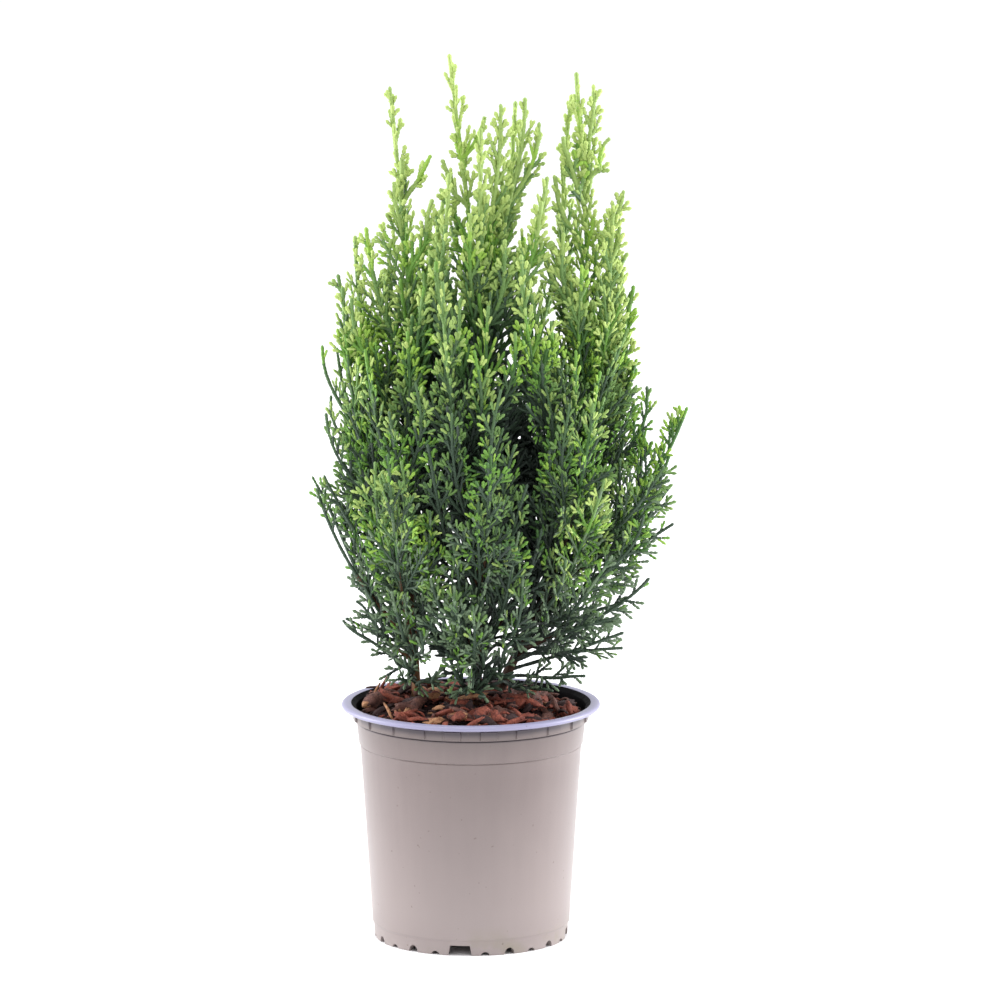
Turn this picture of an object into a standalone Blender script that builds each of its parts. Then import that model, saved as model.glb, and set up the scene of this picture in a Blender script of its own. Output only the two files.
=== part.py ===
# A young Lawson cypress with three stems, growing in a round nursery pot topped with bark mulch.
# Units are metres and +Z is up. The origin is the centre of the pot's flat underside, and the
# side that is usually looked at faces -Y.

import math
import random
from collections import namedtuple

import bmesh
import bpy
from mathutils import Matrix, Vector
from mathutils.bvhtree import BVHTree

# Driving dimensions of the pot, a thin-walled plastic nursery pot of the 13 cm size.
POT_HEIGHT = 0.120
RIM_RADIUS = 0.065
FOOT_RADIUS = 0.0485
WALL = 0.0009
FLOOR_HEIGHT = 0.0062
POT_SEGMENTS = 48

# The drain gaps round the foot repeat every 30 degrees, and every third one is a wide slot.
FOOT_BAYS = 12
FOOT_TURN = math.radians(-96.4)
SLOT_EVERY = 3
SLOT_WIDTH, SLOT_TOP_WIDTH, SLOT_HEIGHT = 0.0135, 0.0100, 0.0059
TALL_ARCH_WIDTH, TALL_ARCH_HEIGHT = 0.0045, 0.0031
DRAIN_HOLES, DRAIN_HOLE_RADIUS, DRAIN_CIRCLE = 6, 0.0035, 0.034

# The filling: potting soil, and over it bark mulch that is heaped round the stems.
SOIL_TOP = 0.1035
MULCH_EDGE = 0.1135
GROUND = 0.1225
MULCH_RINGS, MULCH_SEGMENTS = 7, 36
CHIP_RELIEF = 0.0030
PAD_RADIUS = 0.0095

# What lies against its neighbour keeps this gap.
GAP = 0.0003

# The crown's outline: at each height, how far the foliage reaches to the left (-X), to the right
# (+X) and to the front and back.
CROWN = (
    (0.122, 0.042, 0.052, 0.042),
    (0.148, 0.062, 0.078, 0.060),
    (0.196, 0.072, 0.098, 0.072),
    (0.234, 0.081, 0.108, 0.079),
    (0.272, 0.078, 0.111, 0.077),
    (0.302, 0.075, 0.092, 0.071),
    (0.332, 0.070, 0.083, 0.063),
    (0.376, 0.055, 0.078, 0.050),
    (0.410, 0.046, 0.070, 0.039),
    (0.436, 0.043, 0.063, 0.029),
    (0.449, 0.016, 0.024, 0.016),
)

# Each stem: its foot, where it passes at two more heights, its tip, and its radius at the foot.
Stem = namedtuple("Stem", "name points radius")
STEMS = (
    Stem(
        "left",
        ((-0.027, 0.006, GROUND), (-0.031, 0.004, 0.20), (-0.036, 0.002, 0.32), (-0.042, 0.0, 0.429)),
        0.0023,
    ),
    Stem(
        "middle",
        ((0.003, -0.004, GROUND), (0.004, -0.002, 0.20), (0.002, 0.002, 0.33), (-0.0105, 0.0, 0.4410)),
        0.0026,
    ),
    Stem(
        "right",
        ((0.014, 0.010, GROUND), (0.046, 0.012, 0.20), (0.058, 0.010, 0.32), (0.0525, 0.004, 0.4335)),
        0.0025,
    ),
)
STEM_BARE_SHARE = 0.84
FLARE = 1.55
FLARE_HEIGHT = 0.010

# Each bough: its stem, the height of its foot, the compass angle of its tip from +X, how much of
# the crown's reach its tip takes, and its tip's height. A tier's sweep is how much its boughs
# turn upwards: at 1 they go out first and then up, at 0 they are straight, below 0 they level off.
# A tier's bare share is how much of each bough shows before its foliage begins. At 0 the foliage
# grows straight from the stem.
Tier = namedtuple("Tier", "name sweep bare boughs")
Bough = namedtuple("Bough", "stem foot angle share tip")
TIERS = (
    Tier(
        "top",
        0.8,
        0.0,
        (
            Bough("right", 0.262, 18, 0.90, 0.424),
            Bough("middle", 0.290, 42, 0.66, 0.420),
            Bough("middle", 0.262, -75, 0.50, 0.412),
            Bough("left", 0.275, 246, 0.55, 0.390),
        ),
    ),
    Tier(
        "shoulder",
        1.0,
        0.26,
        (
            Bough("right", 0.224, -12, 0.95, 0.374),
            Bough("right", 0.200, 6, 0.95, 0.326),
            Bough("left", 0.218, 170, 0.94, 0.354),
            Bough("left", 0.188, 189, 0.92, 0.331),
            Bough("middle", 0.210, 255, 0.86, 0.340),
            Bough("right", 0.234, 300, 0.82, 0.352),
            Bough("middle", 0.228, 112, 0.86, 0.362),
            Bough("right", 0.230, 60, 0.86, 0.348),
        ),
    ),
    Tier(
        "waist",
        0.55,
        0.27,
        (
            Bough("right", 0.170, -3, 0.975, 0.270),
            Bough("left", 0.168, 163, 0.93, 0.295),
            Bough("left", 0.150, 193, 0.98, 0.231),
            Bough("left", 0.142, 237, 0.95, 0.256),
            Bough("middle", 0.166, 278, 0.94, 0.262),
            Bough("right", 0.180, 318, 0.92, 0.280),
            Bough("middle", 0.174, 103, 0.94, 0.274),
            Bough("right", 0.188, 48, 0.92, 0.268),
        ),
    ),
    Tier(
        "skirt",
        -0.3,
        0.27,
        (
            Bough("right", 0.156, 14, 0.95, 0.218),
            Bough("right", 0.142, -22, 0.94, 0.168),
            Bough("left", 0.138, 184, 0.96, 0.163),
            Bough("middle", 0.140, 262, 0.94, 0.180),
            Bough("left", 0.144, 128, 0.94, 0.190),
        ),
    ),
    Tier(
        "heart",
        0.7,
        0.0,
        (
            Bough("left", 0.196, 282, 0.50, 0.292),
            Bough("middle", 0.150, 312, 0.62, 0.214),
            Bough("left", 0.236, 120, 0.55, 0.352),
            Bough("middle", 0.200, 70, 0.45, 0.300),
            Bough("middle", 0.140, 222, 0.50, 0.172),
        ),
    ),
)
BOUGH_RADIUS = 0.0014
BOUGH_TIP_RADIUS = 0.0008

# A mass of foliage: one three-sided stem with toothed blades on it, each blade a flat spray.
SPRAY_ANGLE = math.radians(36)
SPRAY_LENGTH = 0.050
SPRAY_THICKNESS = 0.0013
SPRAY_STALK = 0.0010
SPRAY_SCALES = (1.0, 0.82, 0.66, 0.52)
SPRAY_SPACING = 0.0135
FEWEST_SPRAYS, MOST_SPRAYS = 5, 7
TRIES_PER_SPRAY = 9
LEADER_LENGTH = 0.052
Form = namedtuple("Form", "spread taper slant notch")
SIDE_FORM = Form(0.48, 0.40, math.radians(36), 0.34)
LEADER_FORM = Form(0.26, 0.80, math.radians(30), 0.22)
SIDE_ROOM, LEADER_ROOM = 0.003, 0.008
TWIG_RADIUS = 0.0011
TWIG_TIP_RADIUS = 0.0006
SPACE_MARGIN = 0.0006
GOLDEN_TURN = math.radians(137.5)
SEED = 7

UP = Vector((0, 0, 1))


# Materials, one for each kind of sub-part.


def finish(name, colour, roughness):
    """A plain Principled material."""
    material = bpy.data.materials.new(name)
    material.use_nodes = True
    shader = material.node_tree.nodes["Principled BSDF"]
    shader.inputs["Base Color"].default_value = (*colour, 1.0)
    shader.inputs["Roughness"].default_value = roughness
    shader.inputs["Metallic"].default_value = 0.0
    return material


def all_finishes():
    return {
        "pot": finish("taupe_plastic", (0.42, 0.36, 0.34), 0.45),
        "soil": finish("dark_soil", (0.035, 0.022, 0.016), 0.95),
        "mulch": finish("bark_mulch", (0.17, 0.06, 0.035), 0.85),
        "stem": finish("cypress_bark", (0.24, 0.13, 0.08), 0.85),
        "foliage": finish("cypress_foliage", (0.13, 0.30, 0.06), 0.6),
    }


# Helpers that make meshes.


def clear_scene():
    for thing in list(bpy.data.objects):
        bpy.data.objects.remove(thing, do_unlink=True)


def add_object(name, mesh, material):
    """Links the mesh as a named object with one material."""
    thing = bpy.data.objects.new(name, mesh)
    bpy.context.scene.collection.objects.link(thing)
    mesh.materials.clear()
    mesh.materials.append(material)
    return thing


def mesh_from(name, points, faces):
    mesh = bpy.data.meshes.new(name)
    mesh.from_pydata([tuple(p) for p in points], [], faces)
    mesh.update()
    return mesh


def smooth(mesh, degrees):
    mesh.shade_smooth()
    mesh.set_sharp_from_angle(angle=math.radians(degrees))


def turned(name, profile, segments):
    """A closed solid turned round Z from a profile of (radius, height) that starts and ends on the axis."""
    points, faces = [], []
    rings = profile[1:-1]
    points.append(Vector((0, 0, profile[0][1])))
    for radius, height in rings:
        for step in range(segments):
            angle = 2 * math.pi * step / segments
            points.append(Vector((radius * math.cos(angle), radius * math.sin(angle), height)))
    points.append(Vector((0, 0, profile[-1][1])))
    last = len(points) - 1

    def at(ring, step):
        return 1 + ring * segments + step % segments

    for step in range(segments):
        faces.append((0, at(0, step + 1), at(0, step)))
        for ring in range(len(rings) - 1):
            faces.append((at(ring, step), at(ring, step + 1), at(ring + 1, step + 1), at(ring + 1, step)))
        faces.append((at(len(rings) - 1, step), at(len(rings) - 1, step + 1), last))
    return mesh_from(name, points, faces)


def tube(path, radii, sides, first_ring=None):
    """Points and faces of a closed tapering tube. Its rings turn as little as they can along the path."""
    points, faces = [], []
    across = None
    for index, (centre, radius) in enumerate(zip(path, radii)):
        before = path[max(index - 1, 0)]
        after = path[min(index + 1, len(path) - 1)]
        along = (after - before).normalized()
        if across is None:
            across = along.cross(Vector((0.31, 0.95, 0.05))).normalized()
        across = (across - along * across.dot(along)).normalized()
        other = along.cross(across)
        for side in range(sides):
            angle = 2 * math.pi * side / sides
            offset = (across * math.cos(angle) + other * math.sin(angle)) * radius
            if index == 0 and first_ring:
                offset = first_ring(offset, along)
            points.append(centre + offset)
    rings = len(path)
    for ring in range(rings - 1):
        for side in range(sides):
            a = ring * sides + side
            b = ring * sides + (side + 1) % sides
            faces.append((a, b, b + sides, a + sides))
    faces.append(tuple(reversed(range(sides))))
    faces.append(tuple(range((rings - 1) * sides, rings * sides)))
    return points, faces


def taper(start, end, count):
    """Radii that change evenly from start to end."""
    return [start + (end - start) * index / (count - 1) for index in range(count)]


def tree_of(points, faces):
    return BVHTree.FromPolygons([tuple(p) for p in points], faces)


# The pot.


def wall_profile():
    """The pot's outer face from its foot to under its rim, as (radius, height)."""
    body_top, band_top, rib_top = 0.0965, 0.1088, 0.1152
    return [
        (FOOT_RADIUS - 0.0003, 0.0),
        (FOOT_RADIUS + 0.0004, 0.0074),
        (FOOT_RADIUS + 0.0011, 0.0084),
        (0.0557, body_top),
        (0.0566, body_top + 0.0016),
        (0.0576, band_top),
        (0.0585, band_top + 0.0009),
        (0.0588, rib_top),
    ]


def inner_radius(height):
    """The radius of the pot's inner face at a height above the floor."""
    outer = wall_profile()
    for (r0, z0), (r1, z1) in zip(outer, outer[1:]):
        if z0 <= height <= z1:
            return r0 + (r1 - r0) * (height - z0) / (z1 - z0) - WALL
    return outer[-1][0] - WALL


def pot_mesh():
    """One sheet: a tapering wall with a stacking band, a rolled rim, a foot ring and a raised
    floor whose middle comes down to a flat pad."""
    ring_inside = FOOT_RADIUS - 0.0030
    pad, dip = 0.0140, 0.0175
    underside = [
        (0.0, 0.0),
        (pad, 0.0),
        (dip, FLOOR_HEIGHT - WALL),
        (ring_inside - 0.0015, FLOOR_HEIGHT - WALL),
        (ring_inside, 0.0),
    ]
    rim = [
        (0.0640, 0.1160),
        (RIM_RADIUS, 0.1172),
        (RIM_RADIUS - 0.0004, 0.1190),
        (RIM_RADIUS - 0.0022, POT_HEIGHT),
        (0.0606, POT_HEIGHT),
        (0.0590, 0.1192),
    ]
    inside = [(r - WALL, z) for r, z in reversed(wall_profile()[2:])]
    inside[0] = (inside[0][0], inside[0][1] + 0.0008)
    floor = [
        (FOOT_RADIUS - 0.0007, FLOOR_HEIGHT),
        (dip - 0.0006, FLOOR_HEIGHT),
        (pad, WALL),
        (0.0, WALL),
    ]
    return turned("pot", underside + wall_profile() + rim + inside + floor, POT_SEGMENTS)


def foot_cutter():
    """All the gaps that are cut through the foot ring, as one mesh of separate wedges."""
    points, faces = [], []
    near, far = FOOT_RADIUS - 0.0052, FOOT_RADIUS + 0.003

    def wedge(angle, foot_width, top_width, height):
        start = len(points)
        turn = Matrix.Rotation(angle, 3, "Z")
        for radius in (near, far):
            for side, level, width in (
                (-1, -0.002, foot_width),
                (1, -0.002, foot_width),
                (1, height, top_width),
                (-1, height, top_width),
            ):
                points.append(turn @ Vector((radius, side * width / 2, level)))
        for quad in ((0, 3, 2, 1), (4, 5, 6, 7), (0, 1, 5, 4), (1, 2, 6, 5), (2, 3, 7, 6), (3, 0, 4, 7)):
            faces.append(tuple(start + corner for corner in quad))

    bay = 2 * math.pi / FOOT_BAYS
    for index in range(FOOT_BAYS):
        angle = FOOT_TURN + index * bay
        if index % SLOT_EVERY == 0:
            wedge(angle, SLOT_WIDTH, SLOT_TOP_WIDTH, SLOT_HEIGHT - 0.0007)
        else:
            wedge(angle, TALL_ARCH_WIDTH, TALL_ARCH_WIDTH * 0.45, TALL_ARCH_HEIGHT)
    cutter = add_object("foot_cutter", mesh_from("foot_cutter", points, faces), bpy.data.materials[0])
    cutter.hide_render = True
    cutter.display_type = "WIRE"
    return cutter


def drain_cutter():
    """The round drain holes in the raised floor."""
    points, faces = [], []
    sides = 10
    for index in range(DRAIN_HOLES):
        angle = FOOT_TURN + 2 * math.pi * (index + 0.5) / DRAIN_HOLES
        centre = Vector((math.cos(angle), math.sin(angle), 0)) * DRAIN_CIRCLE
        path = [centre + UP * 0.002, centre + UP * 0.009]
        ring_points, ring_faces = tube(path, [DRAIN_HOLE_RADIUS] * 2, sides)
        faces.extend(tuple(i + len(points) for i in face) for face in ring_faces)
        points.extend(ring_points)
    cutter = add_object("drain_cutter", mesh_from("drain_cutter", points, faces), bpy.data.materials[0])
    cutter.hide_render = True
    cutter.display_type = "WIRE"
    return cutter


def build_pot(finishes):
    mesh = pot_mesh()
    smooth(mesh, 30)
    pot = add_object("pot", mesh, finishes["pot"])
    for cutter in (foot_cutter(), drain_cutter()):
        cut = pot.modifiers.new(cutter.name, "BOOLEAN")
        cut.operation = "DIFFERENCE"
        cut.solver = "EXACT"
        cut.object = cutter
    return pot


# The filling of the pot.


def build_soil(finishes):
    """The potting soil fills the pot from its raised floor to under the mulch."""
    base = FLOOR_HEIGHT + GAP
    clear = GAP * 1.4
    body_top = wall_profile()[3][1]
    profile = [(0.0, base), (FOOT_RADIUS - 0.0016, base)]
    profile += [(inner_radius(h) - clear, h) for h in (0.0084, body_top, body_top + 0.0016, SOIL_TOP)]
    profile.append((0.0, SOIL_TOP))
    mesh = turned("potting_soil", profile, POT_SEGMENTS // 2)
    return add_object("potting_soil", mesh, finishes["soil"])


def mulch_height(x, y):
    """The mulch's even surface: low at the wall, heaped round the stems and to the left."""
    radius = math.hypot(x, y) / inner_radius(MULCH_EDGE)
    heap = 1 - min(radius, 1.0) ** 2.2
    left_heap = 0.0045 * math.exp(-(((x + 0.042) / 0.018) ** 2) - ((y - 0.012) / 0.026) ** 2)
    return MULCH_EDGE + (GROUND - MULCH_EDGE) * heap + left_heap


def build_mulch(finishes, rng):
    """A cake of bark chips: a lumpy top with flat places where the stems stand."""
    feet = [Vector(stem.points[0]) for stem in STEMS]
    bottom = SOIL_TOP + GAP
    points = [Vector((0, 0, bottom))]
    rim = inner_radius(MULCH_EDGE) - 0.0008
    foot_rim = inner_radius(bottom) - 0.0008
    rings = [rim * ((ring + 1) / MULCH_RINGS) ** 0.9 for ring in range(MULCH_RINGS)]
    steps = range(MULCH_SEGMENTS)

    def top_point(radius, angle):
        x, y = radius * math.cos(angle), radius * math.sin(angle)
        nearest = min(math.hypot(x - foot.x, y - foot.y) for foot in feet)
        if nearest < PAD_RADIUS:
            return Vector((x, y, GROUND - GAP))
        return Vector((x, y, mulch_height(x, y) + rng.uniform(-CHIP_RELIEF, CHIP_RELIEF * 0.5)))

    def angle_of(step):
        return 2 * math.pi * step / MULCH_SEGMENTS

    points += [Vector((foot_rim * math.cos(angle_of(s)), foot_rim * math.sin(angle_of(s)), bottom)) for s in steps]
    for radius in reversed(rings):
        points += [top_point(radius, angle_of(step)) for step in steps]
    points.append(Vector((0, 0, GROUND - GAP)))
    faces = []
    count = MULCH_RINGS + 1

    def at(ring, step):
        return 1 + ring * MULCH_SEGMENTS + step % MULCH_SEGMENTS

    for step in steps:
        faces.append((0, at(0, step + 1), at(0, step)))
        for ring in range(count - 1):
            a, b = at(ring, step), at(ring, step + 1)
            c, d = at(ring + 1, step + 1), at(ring + 1, step)
            faces.extend(((a, b, c), (a, c, d)))
        faces.append((at(count - 1, step), at(count - 1, step + 1), len(points) - 1))
    return add_object("bark_mulch", mesh_from("bark_mulch", points, faces), finishes["mulch"])


# The woody parts. A path is a list of points, and a limb is a tapering tube along one.


def smooth_path(knots, count):
    """A smooth curve through all the knots, evenly stepped."""
    knots = [Vector(k) for k in knots]
    ends = [knots[0] * 2 - knots[1], *knots, knots[-1] * 2 - knots[-2]]
    points = []
    for index in range(count + 1):
        place = index / count * (len(knots) - 1)
        span = min(int(place), len(knots) - 2)
        t = place - span
        a, b, c, d = ends[span : span + 4]
        points.append(
            0.5
            * (
                2 * b
                + (c - a) * t
                + (2 * a - 5 * b + 4 * c - d) * t * t
                + (3 * b - a - 3 * c + d) * t ** 3
            )
        )
    return points


def point_at_height(path, height):
    for a, b in zip(path, path[1:]):
        if a.z <= height <= b.z:
            return a.lerp(b, (height - a.z) / (b.z - a.z))
    return path[-1].copy()


def crown_reach(height, angle):
    """How far the crown reaches from the pot's axis at this height and compass angle."""
    rows = CROWN
    height = min(max(height, rows[0][0]), rows[-1][0])
    for low, high in zip(rows, rows[1:]):
        if low[0] <= height <= high[0]:
            share = (height - low[0]) / (high[0] - low[0])
            left, right, deep = (low[i] + (high[i] - low[i]) * share for i in (1, 2, 3))
            break
    side = right if math.cos(angle) > 0 else left
    return 1 / math.hypot(math.cos(angle) / side, math.sin(angle) / deep)


def inside_crown(point, room):
    """True inside the crown's outline with this much room round it, and above the mulch."""
    if not CROWN[0][0] + 0.004 <= point.z <= CROWN[-1][0]:
        return False
    return math.hypot(point.x, point.y) <= crown_reach(point.z, math.atan2(point.y, point.x)) + room


def bough_path(foot, tip, sweep, count):
    """From its foot on the stem to its tip. With a high sweep it goes out first and then up."""
    out = Vector((tip.x - foot.x, tip.y - foot.y, 0))
    out = out.normalized() * max(out.length, 0.022) if out.length < 0.022 else out
    rise = UP * (tip.z - foot.z)
    first = foot + out * (0.33 + 0.22 * sweep) + rise * (0.33 - 0.14 * sweep)
    second = foot + out * (0.67 + 0.25 * sweep) + rise * (0.67 - 0.12 * sweep)
    points = []
    for index in range(count + 1):
        t = index / count
        s = 1 - t
        points.append(foot * s**3 + first * (3 * s * s * t) + second * (3 * s * t * t) + tip * t**3)
    return points


def split_path(path, share):
    """Cuts a path in two at this share of its points, with the gap between the halves."""
    cut = max(2, round(share * (len(path) - 1)))
    lower, upper = path[: cut + 1], path[cut:]
    start = upper[0] + (upper[1] - upper[0]).normalized() * GAP
    return lower, [start, *upper[1:]]


def stem_radius(stem, height, path):
    """The stem's radius: a root flare at its foot, then an even taper."""
    rise = (height - path[0].z) / (path[-1].z - path[0].z)
    body = stem.radius * (1 - 0.72 * rise)
    flare = max(0.0, 1 - (height - path[0].z) / FLARE_HEIGHT)
    return body * (1 + (FLARE - 1) * flare * flare)


def flat_cut(offset, along):
    """Turns the first ring level, so that the limb stands on a flat cut."""
    return Vector((offset.x, offset.y, 0)).normalized() * offset.length


def build_stems(finishes):
    """The three stems, and for each one its whole path, for its boughs and its top foliage."""
    grown = {}
    for stem in STEMS:
        path = smooth_path(stem.points, 16)
        lower, upper = split_path(path, STEM_BARE_SHARE)
        lower = [lower[0], lower[0].lerp(lower[1], 0.4), *lower[1:]]
        radii = [stem_radius(stem, p.z, path) for p in lower]
        points, faces = tube(lower, radii, 8, flat_cut)
        mesh = mesh_from("stem_" + stem.name, points, faces)
        smooth(mesh, 50)
        add_object("stem_" + stem.name, mesh, finishes["stem"])
        wide, wide_faces = tube(lower, [r + GAP for r in radii], 8, flat_cut)
        grown[stem.name] = (stem, path, upper, tree_of(wide, wide_faces))
    return grown


def build_bough(name, bough, tier, grown, limbs, finishes):
    """One tapering bough from 0.3 mm off its stem to where its foliage begins. Returns the path
    that its foliage follows and a search tree of the bough."""
    stem, stem_path = grown[bough.stem][:2]
    root = point_at_height(stem_path, bough.foot)
    lean = (point_at_height(stem_path, bough.foot + 0.004) - root).normalized()
    angle = math.radians(bough.angle)
    reach = crown_reach(bough.tip, angle) * bough.share
    tip = Vector((reach * math.cos(angle), reach * math.sin(angle), bough.tip))
    outward = Vector((tip.x - root.x, tip.y - root.y, 0))
    outward = (outward - lean * outward.dot(lean)).normalized()

    def flush_cut(offset, along):
        """Shears the first ring into the plane that lies along the stem."""
        return offset - along * (offset.dot(outward) / max(along.dot(outward), 0.3))

    stand_off = stem_radius(stem, bough.foot, stem_path) + GAP
    for attempt in range(40):
        foot = root + outward * (stand_off + attempt * 0.00015)
        path = bough_path(foot, tip, tier.sweep, 12)
        lower, upper = split_path(path, tier.bare) if tier.bare else (path, path)
        if tier.bare:
            radii = taper(BOUGH_RADIUS, BOUGH_TIP_RADIUS, len(lower))
            points, faces = tube(lower, radii, 5, flush_cut)
        else:
            points, faces = tube(path, [TWIG_RADIUS] * len(path), 3)
        tree = tree_of(points, faces)
        if not any(limb.overlap(tree) for limb in limbs):
            break
    else:
        print("no clear place for", name)
    if not tier.bare:
        return path, upper, None
    mesh = mesh_from(name, points, faces)
    smooth(mesh, 50)
    add_object(name, mesh, finishes["stem"])
    return path, upper, tree_of(*tube(lower, [r + GAP for r in radii], 5, flush_cut))


# The foliage. Each mass keeps to its own space: what is nearer to its own axis than to any
# other, and inside the crown's outline.


def distance_to_path(point, path):
    best = 1e9
    for a, b in zip(path, path[1:]):
        line = b - a
        t = min(max((point - a).dot(line) / line.length_squared, 0), 1)
        best = min(best, (a + line * t - point).length)
    return best


def spray_outline(form, length, teeth):
    """The outline of a flat spray in its own plane: a root, side teeth that point forwards, and
    a tip. Side shoots stand alternately, so one side's teeth sit further out."""
    step = length * 0.78 / teeth

    def one_side(shift):
        side = []
        for index in range(teeth):
            base = length * 0.10 + step * (index + shift)
            reach = length * form.spread * (1 - form.taper * base / length)
            side.append((base + reach / math.tan(form.slant), SPRAY_STALK * 0.8 + reach))
            side.append((base + step * 1.25, SPRAY_STALK * 0.8 + reach * form.notch))
        return side

    right = [(u, -v) for u, v in one_side(0.0)]
    left = list(reversed(one_side(0.38)))
    root = -SPRAY_STALK * 1.4
    return [(root, -SPRAY_STALK * 0.7), *right, (length, 0.0), *left, (root, SPRAY_STALK * 0.7)]


def spray_blade(form, root, direction, normal, length, teeth, thickness=SPRAY_THICKNESS):
    """Points and faces of one blade: its outline given a thickness."""
    across = normal.cross(direction).normalized()
    points = []
    for level in (-0.5, 0.5):
        for u, v in spray_outline(form, length, teeth):
            points.append(root + direction * u + across * v + normal * (level * thickness))
    count = len(points) // 2
    faces = [tuple(reversed(range(count))), tuple(range(count, 2 * count))]
    for index in range(count):
        after = (index + 1) % count
        faces.append((index, after, after + count, index + count))
    return points, faces


def widened(solid):
    """The same solid with the gap added round it, for testing what comes near."""
    points, faces = solid
    centre = sum(points, Vector()) / len(points)
    return [p + (p - centre).normalized() * GAP * 2 for p in points], faces


def keeps_space(blade, thick_blade, room, own_index, paths, limbs):
    """True if a blade stays in its mass's space and comes near no stem, bough or other mass."""
    points = blade[0]
    own = paths[own_index]
    for index, point in enumerate(points):
        after = points[index + 1] if (index + 1) % (len(points) // 2) else point
        for probe in (point, point.lerp(after, 0.5)):
            if not inside_crown(probe, room):
                return False
            own_distance = distance_to_path(probe, own) + SPACE_MARGIN
            for other_index, other in enumerate(paths):
                if other_index != own_index and distance_to_path(probe, other) < own_distance:
                    return False
    trees = (tree_of(*thick_blade), tree_of(*widened(blade)))
    for owner, limb in limbs:
        if owner != own_index and any(limb.overlap(tree) for tree in trees):
            return False
    return True


def leading_spray(root, direction, length, own_index, paths, limbs, rng):
    """The spray at a mass's tip. It stands in a plane that runs outwards from the plant."""
    outwards = Vector((root.x, root.y, 0))
    sideways = UP.cross(outwards)
    sideways = (sideways - direction * sideways.dot(direction)).normalized()
    for attempt in range(14):
        turn = rng.uniform(-0.35, 0.35) * (1 + attempt * 0.4)
        normal = Matrix.Rotation(turn, 3, direction) @ sideways
        form = LEADER_FORM._replace(spread=LEADER_FORM.spread * (1 - 0.05 * attempt))
        place = (form, root, direction, normal, length, 3)
        blade = spray_blade(*place)
        thick = spray_blade(*place, SPRAY_THICKNESS + GAP * 3)
        if keeps_space(blade, thick, LEADER_ROOM, own_index, paths, limbs):
            return blade
    form = LEADER_FORM._replace(spread=0.08)
    return spray_blade(form, root, direction, normal, length, 2)


def side_spray(root, along, turn, size, own_index, paths, limbs, rng):
    """The longest blade that fits here, after a few tries at turning it, or None."""
    for scale in SPRAY_SCALES:
        length = SPRAY_LENGTH * scale * size
        for attempt in range(TRIES_PER_SPRAY):
            spin = turn + rng.uniform(-0.9, 0.9) * (attempt > 0)
            side = along.cross(Vector((0.2, 0.1, 0.97)).cross(along)).normalized()
            side = Matrix.Rotation(spin, 3, along) @ side
            tilt = SPRAY_ANGLE * rng.uniform(0.8, 1.2)
            direction = along * math.cos(tilt) + side * math.sin(tilt)
            direction = (direction + UP * 0.15).normalized()
            normal = direction.cross(along).normalized()
            normal = Matrix.Rotation(rng.uniform(-1.0, 1.0), 3, direction) @ normal
            place = (SIDE_FORM, root, direction, normal, length, 2)
            blade = spray_blade(*place)
            thick = spray_blade(*place, SPRAY_THICKNESS + GAP * 3)
            if keeps_space(blade, thick, SIDE_ROOM, own_index, paths, limbs):
                return blade
    return None


def grow_mass(name, axis, own_index, paths, limbs, rng, finishes):
    """One mass: its stem, a leading spray at the tip and side sprays set round the stem by the
    golden angle, each as long as its space allows."""
    total = sum((b - a).length for a, b in zip(axis, axis[1:]))
    leader = min(LEADER_LENGTH, total * 0.42)
    walked, cut = 0.0, len(axis) - 1
    while walked < leader:
        walked += (axis[cut] - axis[cut - 1]).length
        cut -= 1
    stem_path = axis[: cut + 1]
    count = len(stem_path) - 1
    solids = [tube(stem_path, taper(TWIG_RADIUS, TWIG_TIP_RADIUS, count + 1), 3)]

    root = stem_path[-1]
    direction = (axis[-1] - root).normalized()
    root = root - direction * 0.0012
    length = (axis[-1] - root).length
    solids.append(leading_spray(root, direction, length, own_index, paths, limbs, rng))

    turn = rng.uniform(0, 2 * math.pi)
    sprays = round(min(max(total / SPRAY_SPACING, FEWEST_SPRAYS), MOST_SPRAYS))
    for index in range(sprays):
        share = (index + 0.6) / sprays
        place = share * count * 0.98
        step = min(int(place), count - 1)
        root = stem_path[step].lerp(stem_path[step + 1], place - step)
        along = (stem_path[step + 1] - stem_path[step]).normalized()
        turn += GOLDEN_TURN
        blade = side_spray(root, along, turn, 1.12 - 0.30 * share, own_index, paths, limbs, rng)
        if blade:
            solids.append(blade)
    for solid in solids[1:]:
        limbs.append((own_index, tree_of(*solid)))
    return join_solids(name, solids, finishes["foliage"])


def join_solids(name, solids, material):
    """Fuses the first solid with the rest by one Boolean union on a collection."""
    holder = bpy.data.collections.new(name + "_pieces")
    bpy.context.scene.collection.children.link(holder)
    for points, faces in solids[1:]:
        piece = bpy.data.objects.new(name + "_piece", mesh_from(name + "_piece", points, faces))
        holder.objects.link(piece)
    body = add_object(name, mesh_from(name, *solids[0]), material)
    union = body.modifiers.new("union", "BOOLEAN")
    union.operation = "UNION"
    union.operand_type = "COLLECTION"
    union.collection = holder
    union.solver = "MANIFOLD"
    graph = bpy.context.evaluated_depsgraph_get()
    fused = bpy.data.meshes.new_from_object(body.evaluated_get(graph))
    body.modifiers.clear()
    body.data = keep_largest(fused)
    body.data.materials.clear()
    body.data.materials.append(material)
    for piece in list(holder.objects):
        bpy.data.objects.remove(piece, do_unlink=True)
    bpy.data.collections.remove(holder)
    return body


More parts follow.
